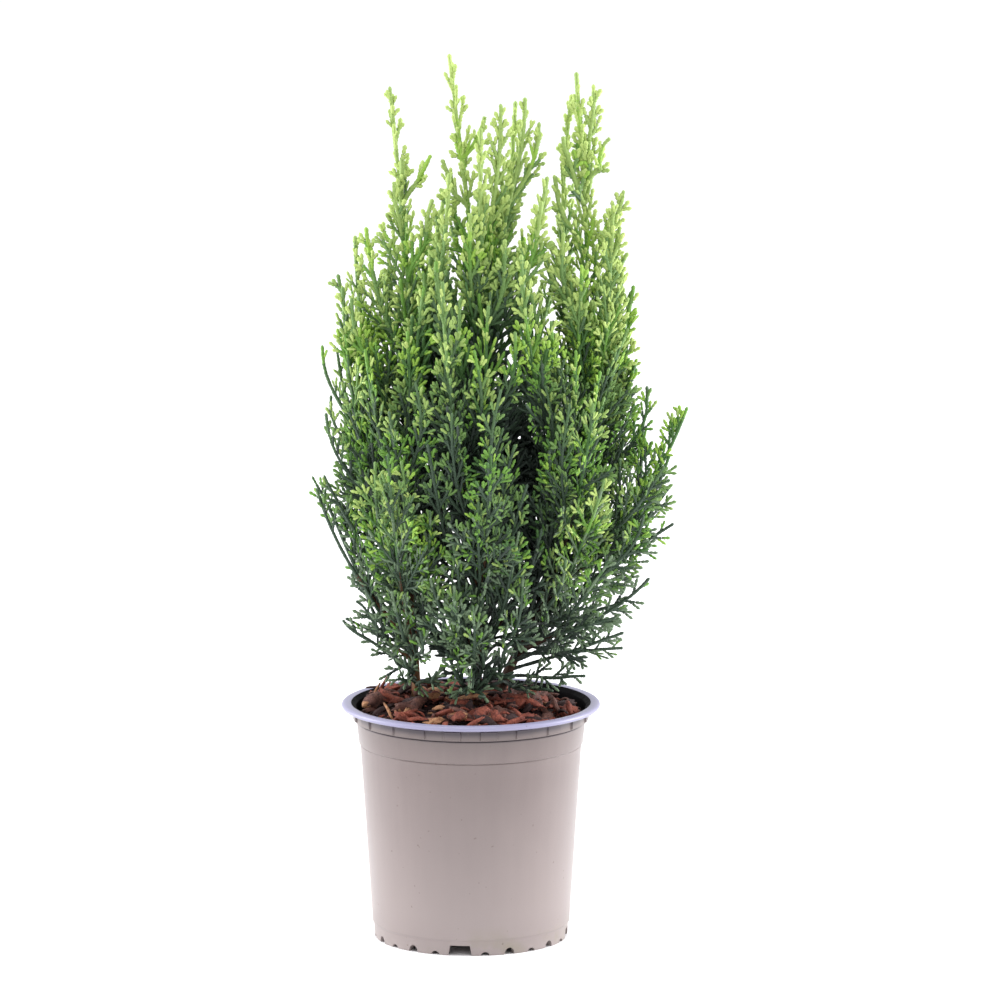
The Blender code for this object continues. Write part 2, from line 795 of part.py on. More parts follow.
def keep_largest(mesh):
    """Drops any loose scrap, so that one body is left."""
    work = bmesh.new()
    work.from_mesh(mesh)
    unseen, groups = set(work.verts), []
    while unseen:
        group, front = set(), [unseen.pop()]
        while front:
            vertex = front.pop()
            group.add(vertex)
            for edge in vertex.link_edges:
                other = edge.other_vert(vertex)
                if other in unseen:
                    unseen.remove(other)
                    front.append(other)
        groups.append(group)
    groups.sort(key=len)
    for group in groups[:-1]:
        bmesh.ops.delete(work, geom=list(group), context="VERTS")
    bmesh.ops.triangulate(work, faces=work.faces)
    work.to_mesh(mesh)
    work.free()
    return mesh


def build_plant(finishes, rng):
    grown = build_stems(finishes)
    paths, axes, trees = [], [], []
    for stem, path, upper, tree in grown.values():
        paths.append(path)
        axes.append(("foliage_stem_" + stem.name, upper))
        trees.append(tree)
    for tier in TIERS:
        for number, bough in enumerate(tier.boughs, 1):
            label = f"{tier.name}_{number}"
            path, upper, tree = build_bough("bough_" + label, bough, tier, grown, trees, finishes)
            paths.append(path)
            axes.append(("foliage_" + label, upper))
            if tree:
                trees.append(tree)
    limbs = [(None, tree) for tree in trees]
    for index, (name, axis) in enumerate(axes):
        twig = tube(axis, [TWIG_RADIUS + GAP] * len(axis), 3)
        limbs.append((index, tree_of(*twig)))
    for index, (name, axis) in enumerate(axes):
        grow_mass(name, axis, index, paths, limbs, rng, finishes)


def main():
    clear_scene()
    finishes = all_finishes()
    rng = random.Random(SEED)
    build_pot(finishes)
    build_soil(finishes)
    build_mulch(finishes, rng)
    build_plant(finishes, rng)


main()
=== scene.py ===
# %% [markdown]
# # A potted Lawson cypress
# A young conifer with three slender stems in a taupe nursery pot, topped with bark mulch. The
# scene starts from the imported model, a fixed frame in metres with +Z up and the origin under the
# middle of the pot. Every piece made here takes its place and size from that frame.

import math
from collections import namedtuple

import bpy
import numpy as np
from mathutils import Matrix, Vector


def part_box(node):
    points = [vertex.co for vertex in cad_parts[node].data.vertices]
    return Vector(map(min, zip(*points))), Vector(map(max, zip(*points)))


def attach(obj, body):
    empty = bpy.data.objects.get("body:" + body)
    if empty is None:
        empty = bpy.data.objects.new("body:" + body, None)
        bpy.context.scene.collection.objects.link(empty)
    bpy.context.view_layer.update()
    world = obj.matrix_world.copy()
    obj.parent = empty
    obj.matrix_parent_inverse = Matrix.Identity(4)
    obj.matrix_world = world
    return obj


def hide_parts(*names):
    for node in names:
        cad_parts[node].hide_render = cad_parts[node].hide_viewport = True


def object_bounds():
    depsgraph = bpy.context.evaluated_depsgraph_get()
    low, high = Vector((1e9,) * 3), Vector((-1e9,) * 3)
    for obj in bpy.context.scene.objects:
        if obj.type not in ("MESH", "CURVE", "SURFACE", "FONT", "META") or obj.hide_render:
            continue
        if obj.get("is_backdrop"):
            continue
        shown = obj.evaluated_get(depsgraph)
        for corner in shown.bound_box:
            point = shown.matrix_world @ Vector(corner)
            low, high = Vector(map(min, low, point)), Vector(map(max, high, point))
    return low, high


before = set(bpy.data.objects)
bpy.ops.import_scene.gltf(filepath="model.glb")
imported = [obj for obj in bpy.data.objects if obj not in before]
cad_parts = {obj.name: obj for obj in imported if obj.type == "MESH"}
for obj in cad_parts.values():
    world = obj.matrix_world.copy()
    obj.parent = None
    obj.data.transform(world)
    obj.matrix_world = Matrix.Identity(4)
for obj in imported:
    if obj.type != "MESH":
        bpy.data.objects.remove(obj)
cad_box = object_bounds()
pot_high = Vector(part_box("pot")[1])
FOLIAGE_NODES = sorted(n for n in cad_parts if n.startswith("foliage_"))
LIMB_NODES = sorted(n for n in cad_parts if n.startswith(("stem_", "bough_")))
print("frame:", len(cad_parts), "nodes, box", [[round(v, 4) for v in c] for c in cad_box])

# %% [markdown]
# ## Camera
# The photograph was taken from far away with a long lens: the pot's rim and foot are almost
# equally open ovals, about 12 degrees above level. So the camera stands four metres off and a
# little above, and the long lens brings the plant up to the size that it has in the picture.

# %% Camera
CAMERA_DISTANCE = 4.0
CAMERA_HEIGHT = 0.925
CAMERA_RIGHT = 0.0146
CAMERA_DIP = math.radians(9.96)
LENS_MM = 292.3

camera_data = bpy.data.cameras.new("camera")
camera_data.lens = LENS_MM
camera_data.sensor_width = 36.0
camera_data.clip_end = 100.0
camera = bpy.data.objects.new("camera", camera_data)
camera.location = (CAMERA_RIGHT, -CAMERA_DISTANCE, CAMERA_HEIGHT)
camera.rotation_euler = (math.radians(90) - CAMERA_DIP, 0.0, 0.0)
bpy.context.scene.collection.objects.link(camera)
bpy.context.scene.camera = camera
print("camera at", tuple(round(v, 3) for v in camera.location))

# %% [markdown]
# ## Light and floor
# The plant stands in a white studio. A pale floor runs out past the picture's edges, a large soft
# box hangs above, and two more stand at the sides, so that the pot's flanks are lighter than its
# middle. The view transform is the plain one, which keeps white white.

# %% Light and floor
SKY_STRENGTH = 1.06


def soft_box(name, place, aim, size, power):
    """A square area light that faces the aim."""
    data = bpy.data.lights.new(name, "AREA")
    data.size = size
    data.energy = power
    light = bpy.data.objects.new(name, data)
    light.location = place
    light.rotation_euler = (Vector(aim) - Vector(place)).to_track_quat("-Z", "Y").to_euler()
    bpy.context.scene.collection.objects.link(light)


world = bpy.data.worlds.new("studio")
world.use_nodes = True
background = world.node_tree.nodes["Background"]
background.inputs["Color"].default_value = (1.0, 1.0, 1.0, 1.0)
background.inputs["Strength"].default_value = SKY_STRENGTH
bpy.context.scene.world = world
bpy.context.scene.view_settings.view_transform = "Standard"

plant_middle = (0.0, 0.0, 0.24)
soft_box("light_top", (-0.2, -0.5, 2.3), plant_middle, 1.6, 26.0)
soft_box("light_left", (-1.9, 0.45, 0.7), plant_middle, 1.4, 44.0)
soft_box("light_right", (1.9, 0.40, 0.7), plant_middle, 1.4, 54.0)

bpy.ops.mesh.primitive_plane_add(size=60.0)
floor = bpy.context.active_object
floor.name = "studio_floor"
floor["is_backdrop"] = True
print("lights: 3 soft boxes, sky", SKY_STRENGTH)

# %% [markdown]
# ## A short way to write finishes
# A finish is a small network of shader nodes. `Signal` wraps one socket, so that arithmetic on it
# reads like arithmetic, and `Finish.add` places any node: first its settings, then what goes into
# its sockets. Colours are given as the eye sees them, from 0 to 255, and turned into light.

# %% Shader helpers
NOISE_ROUGHNESS = 0.55


def seen(red, green, blue):
    """A colour as the eye sees it, turned into the linear value that a shader takes."""
    levels = [level / 255 for level in (red, green, blue)]
    linear = [v / 12.92 if v <= 0.04045 else ((v + 0.055) / 1.055) ** 2.4 for v in levels]
    return (*linear, 1.0)


class Signal:
    """One value socket. Each operator on it adds a Math node."""

    def __init__(self, finish, socket):
        self.finish = finish
        self.socket = socket

    def math(self, operation, first, second=0.0):
        node = self.finish.add("ShaderNodeMath", {"operation": operation}, {0: first, 1: second})
        return Signal(self.finish, node.outputs[0])

    def __add__(self, other):
        return self.math("ADD", self, other)

    def __sub__(self, other):
        return self.math("SUBTRACT", self, other)

    def __rsub__(self, other):
        return self.math("SUBTRACT", other, self)

    def __mul__(self, other):
        return self.math("MULTIPLY", self, other)

    def __truediv__(self, other):
        return self.math("DIVIDE", self, other)

    __radd__ = __add__
    __rmul__ = __mul__

    def clamped(self):
        node = self.finish.add("ShaderNodeClamp", {}, {"Value": self})
        return Signal(self.finish, node.outputs[0])

    def between(self, low, high):
        """0 below low, 1 above high and even in between."""
        return ((self - low) / (high - low)).clamped()


class Finish:
    """One material, built on a Principled shader."""

    def __init__(self, name, colour, roughness, specular=0.5):
        self.material = bpy.data.materials.new(name)
        self.material.use_nodes = True
        self.material.diffuse_color = colour
        self.tree = self.material.node_tree
        self.shader = self.tree.nodes["Principled BSDF"]
        self.put({"Base Color": colour, "Roughness": roughness, "Specular IOR Level": specular})

    def fill(self, socket, value):
        if isinstance(value, Signal):
            self.tree.links.new(value.socket, socket)
        elif isinstance(value, bpy.types.NodeSocket):
            self.tree.links.new(value, socket)
        else:
            socket.default_value = value

    def put(self, values):
        """Sets or links sockets of the Principled shader."""
        for name, value in values.items():
            self.fill(self.shader.inputs[name], value)

    def add(self, kind, settings=None, values=None):
        """Any node: its settings first, then its sockets."""
        node = self.tree.nodes.new(kind)
        for key, value in (settings or {}).items():
            setattr(node, key, value)
        for key, value in (values or {}).items():
            self.fill(node.inputs[key], value)
        return node

    def place(self):
        """The point on the object, in metres, as a vector socket."""
        return self.add("ShaderNodeTexCoord").outputs["Object"]

    def axes(self):
        """The point's X, Y and Z, as signals."""
        parts = self.add("ShaderNodeSeparateXYZ", {}, {0: self.place()})
        return [Signal(self, output) for output in parts.outputs]

    def noise(self, per_metre, detail, stretch=(1.0, 1.0, 1.0)):
        """Cloudy noise with this many lumps per metre, as a signal from 0 to 1."""
        moved = self.add("ShaderNodeMapping", {}, {"Vector": self.place(), "Scale": stretch})
        values = {"Vector": moved.outputs[0], "Scale": per_metre, "Detail": detail}
        node = self.add("ShaderNodeTexNoise", {}, {**values, "Roughness": NOISE_ROUGHNESS})
        return Signal(self, node.outputs["Fac"])

    def mix(self, share, first, second):
        """A colour between two colours."""
        node = self.add("ShaderNodeMix", {"data_type": "RGBA"}, {0: share, 6: first, 7: second})
        return node.outputs[2]

    def bump(self, height, strength, distance):
        values = {"Strength": strength, "Distance": distance, "Height": height}
        self.put({"Normal": self.add("ShaderNodeBump", {}, values).outputs[0]})


print("shader helpers ready")

# %% [markdown]
# ## Finishes of the pot, the soil and the floor
# The pot is pressed from one plastic sheet, taupe outside and black inside. The taupe has a fine
# grain, faint upright streaks from the mould, a few dark specks and a little splashed soil near
# the foot. Light and shade are painted into it too: the wall is lighter low down, where the bright
# floor lights it, bands of painted shade lie under the rim and in the steps of the stacking band,
# at their heights above the floor, dark painted shadow lines fill the groove under the rim and the
# ledge under the blocks, and the rim is painted lavender for the studio's reflection on it. The
# black side only needs its satin and some dust.

# %% Pot, soil and floor finishes


def taupe_plastic():
    finish = Finish("pot_taupe", seen(128, 117, 115), 0.36)
    z = finish.axes()[2]
    streaks = finish.noise(120.0, 2.0, (1.0, 1.0, 0.06))
    clouds = finish.noise(22.0, 3.0)
    grain = finish.noise(2600.0, 2.0)
    tone = (streaks * 0.35 + clouds * 0.4 + grain * 0.25).between(0.3, 0.7)
    taupe = finish.mix(tone, seen(108, 96, 95), seen(121, 109, 107))
    # Painted light: the wall is lighter low down, where the bright floor lights it.
    lower = finish.mix(z.between(0.09, 0.0) * 0.8, taupe, seen(152, 141, 139))
    # Painted shade: the stacking band under the rim is darker, as the rim shades it.
    under_rim_shade = z.between(0.0980, 0.1100) * z.between(0.1158, 0.1150) * 0.4
    band = finish.mix(under_rim_shade, lower, seen(92, 82, 80))
    # Painted shadow: dark lines in the groove under the rim and at the ledge under the blocks.
    groove_shadow = z.between(0.1126, 0.1148) * z.between(0.1176, 0.1172)
    ledge_shadow = z.between(0.1098, 0.1103) * z.between(0.1114, 0.1111)
    shadow_lined = finish.mix(groove_shadow * 0.85 + ledge_shadow * 0.6, band, seen(52, 44, 54))
    # Painted reflection: the rim's top is lavender, for the bright studio's sheen on it.
    rim = finish.mix(z.between(0.1166, 0.1178) * 0.75, shadow_lined, seen(146, 146, 180))
    spots = finish.noise(420.0, 1.0)
    speckled = finish.mix(spots.between(0.755, 0.775) * 0.55, rim, seen(96, 80, 72))
    dirt_place = z.between(0.016, 0.004) * finish.noise(60.0, 4.0).between(0.52, 0.72)
    finish.put({"Base Color": finish.mix(dirt_place * 0.35, speckled, seen(122, 118, 88))})
    finish.put({"Roughness": 0.30 + clouds * 0.12})
    finish.bump(grain * 0.5 + streaks * 0.5, 0.12, 0.0004)
    return finish.material


def black_plastic():
    finish = Finish("pot_black", seen(8, 7, 10), 0.5, specular=0.02)
    dust = finish.noise(300.0, 4.0).between(0.45, 0.8)
    finish.put({"Base Color": finish.mix(dust * 0.2, seen(6, 5, 8), seen(30, 24, 24))})
    finish.put({"Roughness": 0.55 + dust * 0.3})
    return finish.material


def potting_soil():
    finish = Finish("soil_dark", seen(38, 27, 21), 0.95)
    crumbs = finish.noise(900.0, 4.0)
    tone = crumbs.between(0.35, 0.7)
    finish.put({"Base Color": finish.mix(tone, seen(24, 17, 14), seen(66, 46, 34))})
    finish.bump(crumbs, 0.8, 0.001)
    return finish.material


TAUPE = taupe_plastic()
BLACK = black_plastic()
SOIL = potting_soil()
floor.data.materials.append(Finish("floor_white", seen(250, 250, 252), 0.9).material)
print("finishes:", TAUPE.name, BLACK.name, SOIL.name)

# %% [markdown]
# ## Helpers for modelling by hand
# Operators act on all that is selected, so everything is deselected before a new primitive is
# added, and faces are then selected in code by their place. `ring_up` is the turner's move: pull
# the open edge of a shell to the next height and widen or narrow it.

# %% Modelling helpers


def fresh():
    """Deselects everything, so that the next primitive is on its own."""
    if bpy.context.object and bpy.context.object.mode != "OBJECT":
        bpy.ops.object.mode_set(mode="OBJECT")
    bpy.ops.object.select_all(action="DESELECT")


def only(piece):
    """Makes this piece the only selected one, and the active one."""
    fresh()
    piece.select_set(True)
    bpy.context.view_layer.objects.active = piece


def named(name):
    """Names the active object, and moves its place into its mesh."""
    piece = bpy.context.active_object
    piece.name = name
    piece.data.name = name
    bpy.ops.object.transform_apply(location=True, rotation=True, scale=True)
    return piece


def ring_up(radius, height, last_radius, last_height):
    """Extrudes the selected ring to a new height and radius."""
    rise = {"value": (0.0, 0.0, height - last_height)}
    bpy.ops.mesh.extrude_region_move(TRANSFORM_OT_translate=rise)
    grow = radius / last_radius
    bpy.ops.transform.resize(value=(grow, grow, 1.0), center_override=(0.0, 0.0, height))


def turned(name, profile, segments):
    """A closed shell turned round Z: its profile's first and last rings are filled."""
    fresh()
    radius, height = profile[0]
    bpy.ops.mesh.primitive_circle_add(
        vertices=segments, radius=radius, fill_type="NGON", location=(0.0, 0.0, height)
    )
    piece = named(name)
    bpy.ops.object.mode_set(mode="EDIT")
    bpy.ops.mesh.select_all(action="SELECT")
    bpy.ops.mesh.region_to_loop()
    for (r0, z0), (r1, z1) in zip(profile, profile[1:]):
        ring_up(r1, z1, r0, z0)
    bpy.ops.mesh.edge_face_add()
    bpy.ops.mesh.select_all(action="SELECT")
    bpy.ops.mesh.normals_make_consistent(inside=False)
    bpy.ops.object.mode_set(mode="OBJECT")
    return piece


def select_faces(piece, wanted):
    """In edit mode, selects the faces for which wanted(centre, normal) is true."""
    only(piece)
    bpy.ops.object.mode_set(mode="EDIT")
    bpy.ops.mesh.select_mode(type="FACE")
    bpy.ops.mesh.select_all(action="DESELECT")
    bpy.ops.object.mode_set(mode="OBJECT")
    count = 0
    for face in piece.data.polygons:
        face.select = wanted(face.center, face.normal)
        count += face.select
    bpy.ops.object.mode_set(mode="EDIT")
    return count


def joined(pieces):
    """Joins the pieces into the first one."""
    fresh()
    for piece in pieces:
        piece.select_set(True)
    bpy.context.view_layer.objects.active = pieces[0]
    bpy.ops.object.join()
    return pieces[0]


def cut_away(piece, cutter):
    """Cuts the cutter's shape out of the piece and removes the cutter."""
    only(piece)
    cut = piece.modifiers.new("cut", "BOOLEAN")
    cut.operation = "DIFFERENCE"
    cut.solver = "EXACT"
    cut.object = cutter
    bpy.ops.object.modifier_apply(modifier=cut.name)
    bpy.data.objects.remove(cutter, do_unlink=True)


def smoothed(piece, degrees):
    """Smooth shading, with sharp edges kept where faces meet at more than this angle."""
    only(piece)
    bpy.ops.object.shade_smooth_by_angle(angle=math.radians(degrees))


print("modelling helpers ready")

# %% [markdown]
# ## The pot
# A thermoformed nursery pot: a tapering wall, a stacking band with twenty raised blocks just
# under the rim, a rolled rim, and a foot ring round a raised floor. It could be a spun profile,
# but ring by ring is easier to read, and 240 steps round put an edge on every side of a block.
# The radii and heights are the frame's own, with the small steps and the roll added.

# %% The pot's shell
POT_STEPS = 240
WALL = 0.0009
rim_radius = pot_high.x
pot_height = pot_high.z
foot_radius = 0.0485
floor_height = 0.0062
ROLL_WIDE, ROLL_HIGH = 0.0021, 0.0015
BODY_TOP, BAND_TOP, RIB_TOP = 0.0992, 0.1108, 0.1169
BODY_RADIUS, BAND_FOOT_RADIUS, BAND_RADIUS, RIB_RADIUS = 0.0558, 0.0564, 0.0575, 0.0586


def rim_roll(steps=9):
    """The rolled rim's outside, from under its edge up to its crest, as part of an oval."""
    centre_r, centre_z = rim_radius - ROLL_WIDE, pot_height - ROLL_HIGH
    points = []
    for step in range(steps):
        angle = math.radians(-80 + 170 * step / (steps - 1))
        points.append((centre_r + ROLL_WIDE * math.cos(angle), centre_z + ROLL_HIGH * math.sin(angle)))
    return points


pot_outside = [
    (0.0140, 0.0),
    (0.0175, floor_height - WALL),
    (foot_radius - 0.0045, floor_height - WALL),
    (foot_radius - 0.0030, 0.0004),
    (foot_radius - 0.0027, 0.0),
    (foot_radius - 0.0004, 0.0),
    (foot_radius, 0.0005),
    (foot_radius + 0.0004, 0.0072),
    (foot_radius + 0.0006, 0.0076),
    (foot_radius + 0.0010, 0.0080),
    (foot_radius + 0.0012, 0.0086),
    (foot_radius + 0.0019, 0.0200),
    (BODY_RADIUS - 0.0028, 0.0600),
    (BODY_RADIUS - 0.0002, BODY_TOP - 0.0007),
    (BODY_RADIUS - 0.0004, BODY_TOP - 0.0004),
    (BODY_RADIUS - 0.0004, BODY_TOP - 0.0001),
    (BAND_FOOT_RADIUS - 0.0002, BODY_TOP + 0.0002),
    (BAND_FOOT_RADIUS, BODY_TOP + 0.0006),
    (BAND_RADIUS, BAND_TOP - 0.0004),
    (BAND_RADIUS - 0.0005, BAND_TOP - 0.0001),
    (BAND_RADIUS - 0.0005, BAND_TOP + 0.0001),
    (RIB_RADIUS - 0.0001, BAND_TOP + 0.0003),
    (RIB_RADIUS, BAND_TOP + 0.0007),
    (RIB_RADIUS + 0.0002, RIB_TOP - 0.0006),
    (RIB_RADIUS + 0.0001, RIB_TOP),
    (RIB_RADIUS - 0.0002, RIB_TOP + 0.0002),
    (RIB_RADIUS - 0.0002, RIB_TOP + 0.0004),
    (rim_radius - 0.0036, RIB_TOP + 0.0006),
]
pot_inside = [
    (rim_radius - 0.0038, pot_height - 0.0001),
    (rim_radius - 0.0048, pot_height - 0.0003),
    (rim_radius - 0.0058, pot_height - 0.0010),
    (rim_radius - 0.0073, pot_height - 0.0020),
    (RIB_RADIUS - WALL - 0.0004, RIB_TOP - 0.0008),
    (RIB_RADIUS - WALL - 0.0004, BAND_TOP + 0.0020),
    (BAND_RADIUS - WALL - 0.0003, BAND_TOP),
    (BODY_RADIUS - WALL - 0.0002, BODY_TOP),
    (foot_radius + 0.0012 - WALL, 0.0090),
    (foot_radius - 0.0012, floor_height),
    (0.0168, floor_height),
    (0.0138, WALL),
]
pot = turned("nursery_pot", pot_outside + rim_roll() + pot_inside, POT_STEPS)
print("pot shell:", len(pot.data.polygons), "faces, box", [round(v, 4) for v in pot.dimensions])

# %% [markdown]
# The stacking blocks stand 0.8 mm proud on every second nine-degree step, and a low one faces the
# camera. They are raised by an inset with a depth, which gives each block sloping sides, as a
# mould needs to let the sheet go.

# %% The stacking blocks
BLOCK_STEP = math.radians(9)
BLOCK_RISE, BLOCK_DRAFT = 0.0008, 0.0004


def on_raised_block(centre, normal):
    if not BAND_TOP + 0.0006 < centre.z < RIB_TOP - 0.0005:
        return False
    if math.hypot(centre.x, centre.y) < RIB_RADIUS - WALL * 0.5:
        return False
    from_front = math.atan2(centre.x, -centre.y)
    return round(from_front / BLOCK_STEP) % 2 == 1


block_faces = select_faces(pot, on_raised_block)
bpy.ops.mesh.inset(thickness=BLOCK_DRAFT, depth=BLOCK_RISE)
bpy.ops.object.mode_set(mode="OBJECT")
print("stacking blocks: raised", block_faces, "faces")

# %% [markdown]
# Water leaves through gaps in the foot ring: a wide slot each quarter turn, and between the slots
# small and larger arches by turns. Each gap is cut by a block with a narrower top or by a short
# lying cylinder, and all the cutters go through in one Boolean. Six drain holes go through the
# raised floor.

# %% The drain gaps
FOOT_BAYS = 12
FOOT_TURN = math.radians(-96.4)
SLOT_WIDTH, SLOT_TOP_SHARE, SLOT_HEIGHT = 0.0135, 0.74, 0.0052
CUTTER_REACH = 0.009
ARCH_WIDTHS = {"tall": 0.0054, "low": 0.0044}
ARCH_HEIGHTS = {"tall": 0.0035, "low": 0.0019}
DRAIN_HOLES, DRAIN_RADIUS, DRAIN_CIRCLE = 6, 0.0035, 0.034


def slot_cutter(angle):
    """A block across the foot ring, with its top edge drawn in."""
    fresh()
    bpy.ops.mesh.primitive_cube_add(size=1.0)
    cutter = bpy.context.active_object
    cutter.scale = (CUTTER_REACH, SLOT_WIDTH, SLOT_HEIGHT * 2)
    bpy.ops.object.transform_apply(location=False, rotation=False, scale=True)
    select_faces(cutter, lambda centre, normal: normal.z > 0.5)
    bpy.ops.transform.resize(value=(1.0, SLOT_TOP_SHARE, 1.0))
    bpy.ops.object.mode_set(mode="OBJECT")
    return set_on_foot(cutter, angle)


def arch_cutter(angle, kind):
    """A short cylinder lying across the foot ring, squashed to the arch's height."""
    fresh()
    lying = (0.0, math.pi / 2, 0.0)
    bpy.ops.mesh.primitive_cylinder_add(vertices=20, radius=0.5, depth=CUTTER_REACH, rotation=lying)
    bpy.ops.object.transform_apply(location=False, rotation=True, scale=False)
    cutter = bpy.context.active_object
    cutter.scale = (1.0, ARCH_WIDTHS[kind], ARCH_HEIGHTS[kind] * 2)
    bpy.ops.object.transform_apply(location=False, rotation=False, scale=True)
    return set_on_foot(cutter, angle)


def set_on_foot(cutter, angle):
    cutter.location = (math.cos(angle) * foot_radius, math.sin(angle) * foot_radius, 0.0)
    cutter.rotation_euler = (0.0, 0.0, angle)
    return cutter


foot_cutters = []
for bay in range(FOOT_BAYS):
    bay_angle = FOOT_TURN + bay * 2 * math.pi / FOOT_BAYS
    foot_cutters.append(arch_cutter(bay_angle, "tall") if bay % 3 else slot_cutter(bay_angle))
    foot_cutters.append(arch_cutter(bay_angle + math.pi / FOOT_BAYS, "low"))
cut_away(pot, joined(foot_cutters))

drain_cutters = []
for hole in range(DRAIN_HOLES):
    turn = FOOT_TURN + 2 * math.pi * (hole + 0.5) / DRAIN_HOLES
    place = (DRAIN_CIRCLE * math.cos(turn), DRAIN_CIRCLE * math.sin(turn), floor_height)
    fresh()
    bpy.ops.mesh.primitive_cylinder_add(vertices=24, radius=DRAIN_RADIUS, depth=0.006, location=place)
    drain_cutters.append(bpy.context.active_object)
cut_away(pot, joined(drain_cutters))
print("drain gaps:", len(foot_cutters), "and holes:", len(drain_cutters))

# %% [markdown]
# The faces that look into the pot get the black side of the sheet. What tells them apart is the
# way they face: towards the axis above the floor, and upwards on the floor itself.

# %% Two colours on one sheet


def looks_in(centre, normal):
    radius = math.hypot(centre.x, centre.y)
    if centre.z > floor_height + 0.003:
        towards_axis = -(centre.x * normal.x + centre.y * normal.y) / radius
        return radius < rim_radius - 0.0048 and towards_axis > 0.2
    return radius < foot_radius and normal.z > 0.2


pot.data.materials.append(TAUPE)
pot.data.materials.append(BLACK)
select_faces(pot, looks_in)
pot.active_material_index = 1
bpy.ops.object.material_slot_assign()
bpy.ops.object.mode_set(mode="OBJECT")
smoothed(pot, 32)
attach(pot, "root")
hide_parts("pot")
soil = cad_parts["potting_soil"].data
soil.materials.clear()
soil.materials.append(SOIL)
print("pot:", len(pot.data.polygons), "faces")

# %% [markdown]
# ## The plant's skeleton
# The limbs follow the same rule as the solids: three stems, boughs in tiers that leave them, and
# a foliage axis that carries each bough on to its tip. The rule is written again here, because
# the foliage grows on from these lines. Each axis keeps to its own space in the crown. The
# crown's outline is given by rows: a height, and how far it reaches left, right, and to the
# front and back.

# %% The crown's outline, the stems and the tiers
GROUND = 0.1225
CROWN = (
    (0.122, 0.042, 0.052, 0.042),
    (0.148, 0.062, 0.078, 0.060),
    (0.196, 0.072, 0.098, 0.072),
    (0.234, 0.081, 0.108, 0.079),
    (0.272, 0.078, 0.111, 0.077),
    (0.302, 0.075, 0.092, 0.071),
    (0.332, 0.070, 0.083, 0.063),
    (0.376, 0.055, 0.078, 0.050),
    (0.410, 0.046, 0.070, 0.039),
    (0.436, 0.043, 0.063, 0.029),
    (0.449, 0.016, 0.024, 0.016),
)
Stem = namedtuple("Stem", "name radius knots")
STEMS = (
    Stem(
        "left",
        0.0021,
        ((-0.027, 0.006, GROUND), (-0.031, 0.004, 0.2), (-0.031, 0.002, 0.325), (-0.04, 0.0, 0.43)),
    ),
    Stem(
        "middle",
        0.0026,
        ((0.003, -0.004, GROUND), (0.004, -0.002, 0.2), (0.002, 0.002, 0.33), (-0.0105, 0.0, 0.4462)),
    ),
    Stem(
        "right",
        0.0025,
        ((0.014, 0.01, GROUND), (0.046, 0.012, 0.2), (0.058, 0.01, 0.32), (0.0525, 0.004, 0.4366)),
    ),
)
Tier = namedtuple("Tier", "sweep bare")
TIERS = {
    "top": Tier(0.8, 0.0),
    "shoulder": Tier(1.0, 0.26),
    "waist": Tier(0.55, 0.27),
    "skirt": Tier(-0.3, 0.27),
    "heart": Tier(0.7, 0.0),
}
Bough = namedtuple("Bough", "tier stem foot angle share tip")
BOUGHS = (
    Bough("top", "right", 0.262, 18, 0.90, 0.424),
    Bough("top", "middle", 0.290, 42, 0.66, 0.420),
    Bough("top", "middle", 0.262, -75, 0.50, 0.412),
    Bough("top", "left", 0.275, 246, 0.55, 0.390),
    Bough("shoulder", "right", 0.224, -12, 0.95, 0.374),
    Bough("shoulder", "right", 0.200, 6, 0.95, 0.326),
    Bough("shoulder", "left", 0.218, 170, 0.94, 0.354),
    Bough("shoulder", "left", 0.188, 189, 0.92, 0.331),
    Bough("shoulder", "middle", 0.210, 255, 0.86, 0.340),
    Bough("shoulder", "right", 0.234, 300, 0.82, 0.352),
    Bough("shoulder", "middle", 0.228, 112, 0.86, 0.362),
    Bough("shoulder", "right", 0.230, 60, 0.86, 0.348),
    Bough("waist", "right", 0.170, -3, 0.975, 0.270),
    Bough("waist", "left", 0.168, 163, 0.93, 0.295),
    Bough("waist", "left", 0.150, 193, 0.98, 0.231),
    Bough("waist", "left", 0.142, 237, 0.95, 0.256),
    Bough("waist", "middle", 0.166, 278, 0.94, 0.262),
    Bough("waist", "right", 0.180, 318, 0.92, 0.280),
    Bough("waist", "middle", 0.174, 103, 0.94, 0.274),
    Bough("waist", "right", 0.188, 48, 0.92, 0.268),
    Bough("skirt", "right", 0.156, 14, 0.95, 0.218),
    Bough("skirt", "right", 0.142, -22, 0.94, 0.168),
    Bough("skirt", "left", 0.138, 184, 0.96, 0.163),
    Bough("skirt", "middle", 0.140, 262, 0.94, 0.180),
    Bough("skirt", "left", 0.144, 128, 0.94, 0.190),
    Bough("heart", "left", 0.196, 282, 0.50, 0.292),
    Bough("heart", "middle", 0.150, 312, 0.62, 0.214),
    Bough("heart", "left", 0.236, 120, 0.55, 0.352),
    Bough("heart", "middle", 0.200, 70, 0.45, 0.300),
    Bough("heart", "middle", 0.140, 222, 0.50, 0.172),
)
print("skeleton:", len(STEMS), "stems,", len(BOUGHS), "boughs")

# %% [markdown]
# A stem is a smooth curve through its knots. A bough leaves its stem at the height of its foot
# and ends at a compass angle, a share of the crown's reach and a height. It is a curve with four
# handles: a high sweep sends it outwards first and then up, a low one lets it level off.

# %% Curves of the stems and boughs
PATH_STEPS = 36
LEAST_OUT = 0.022


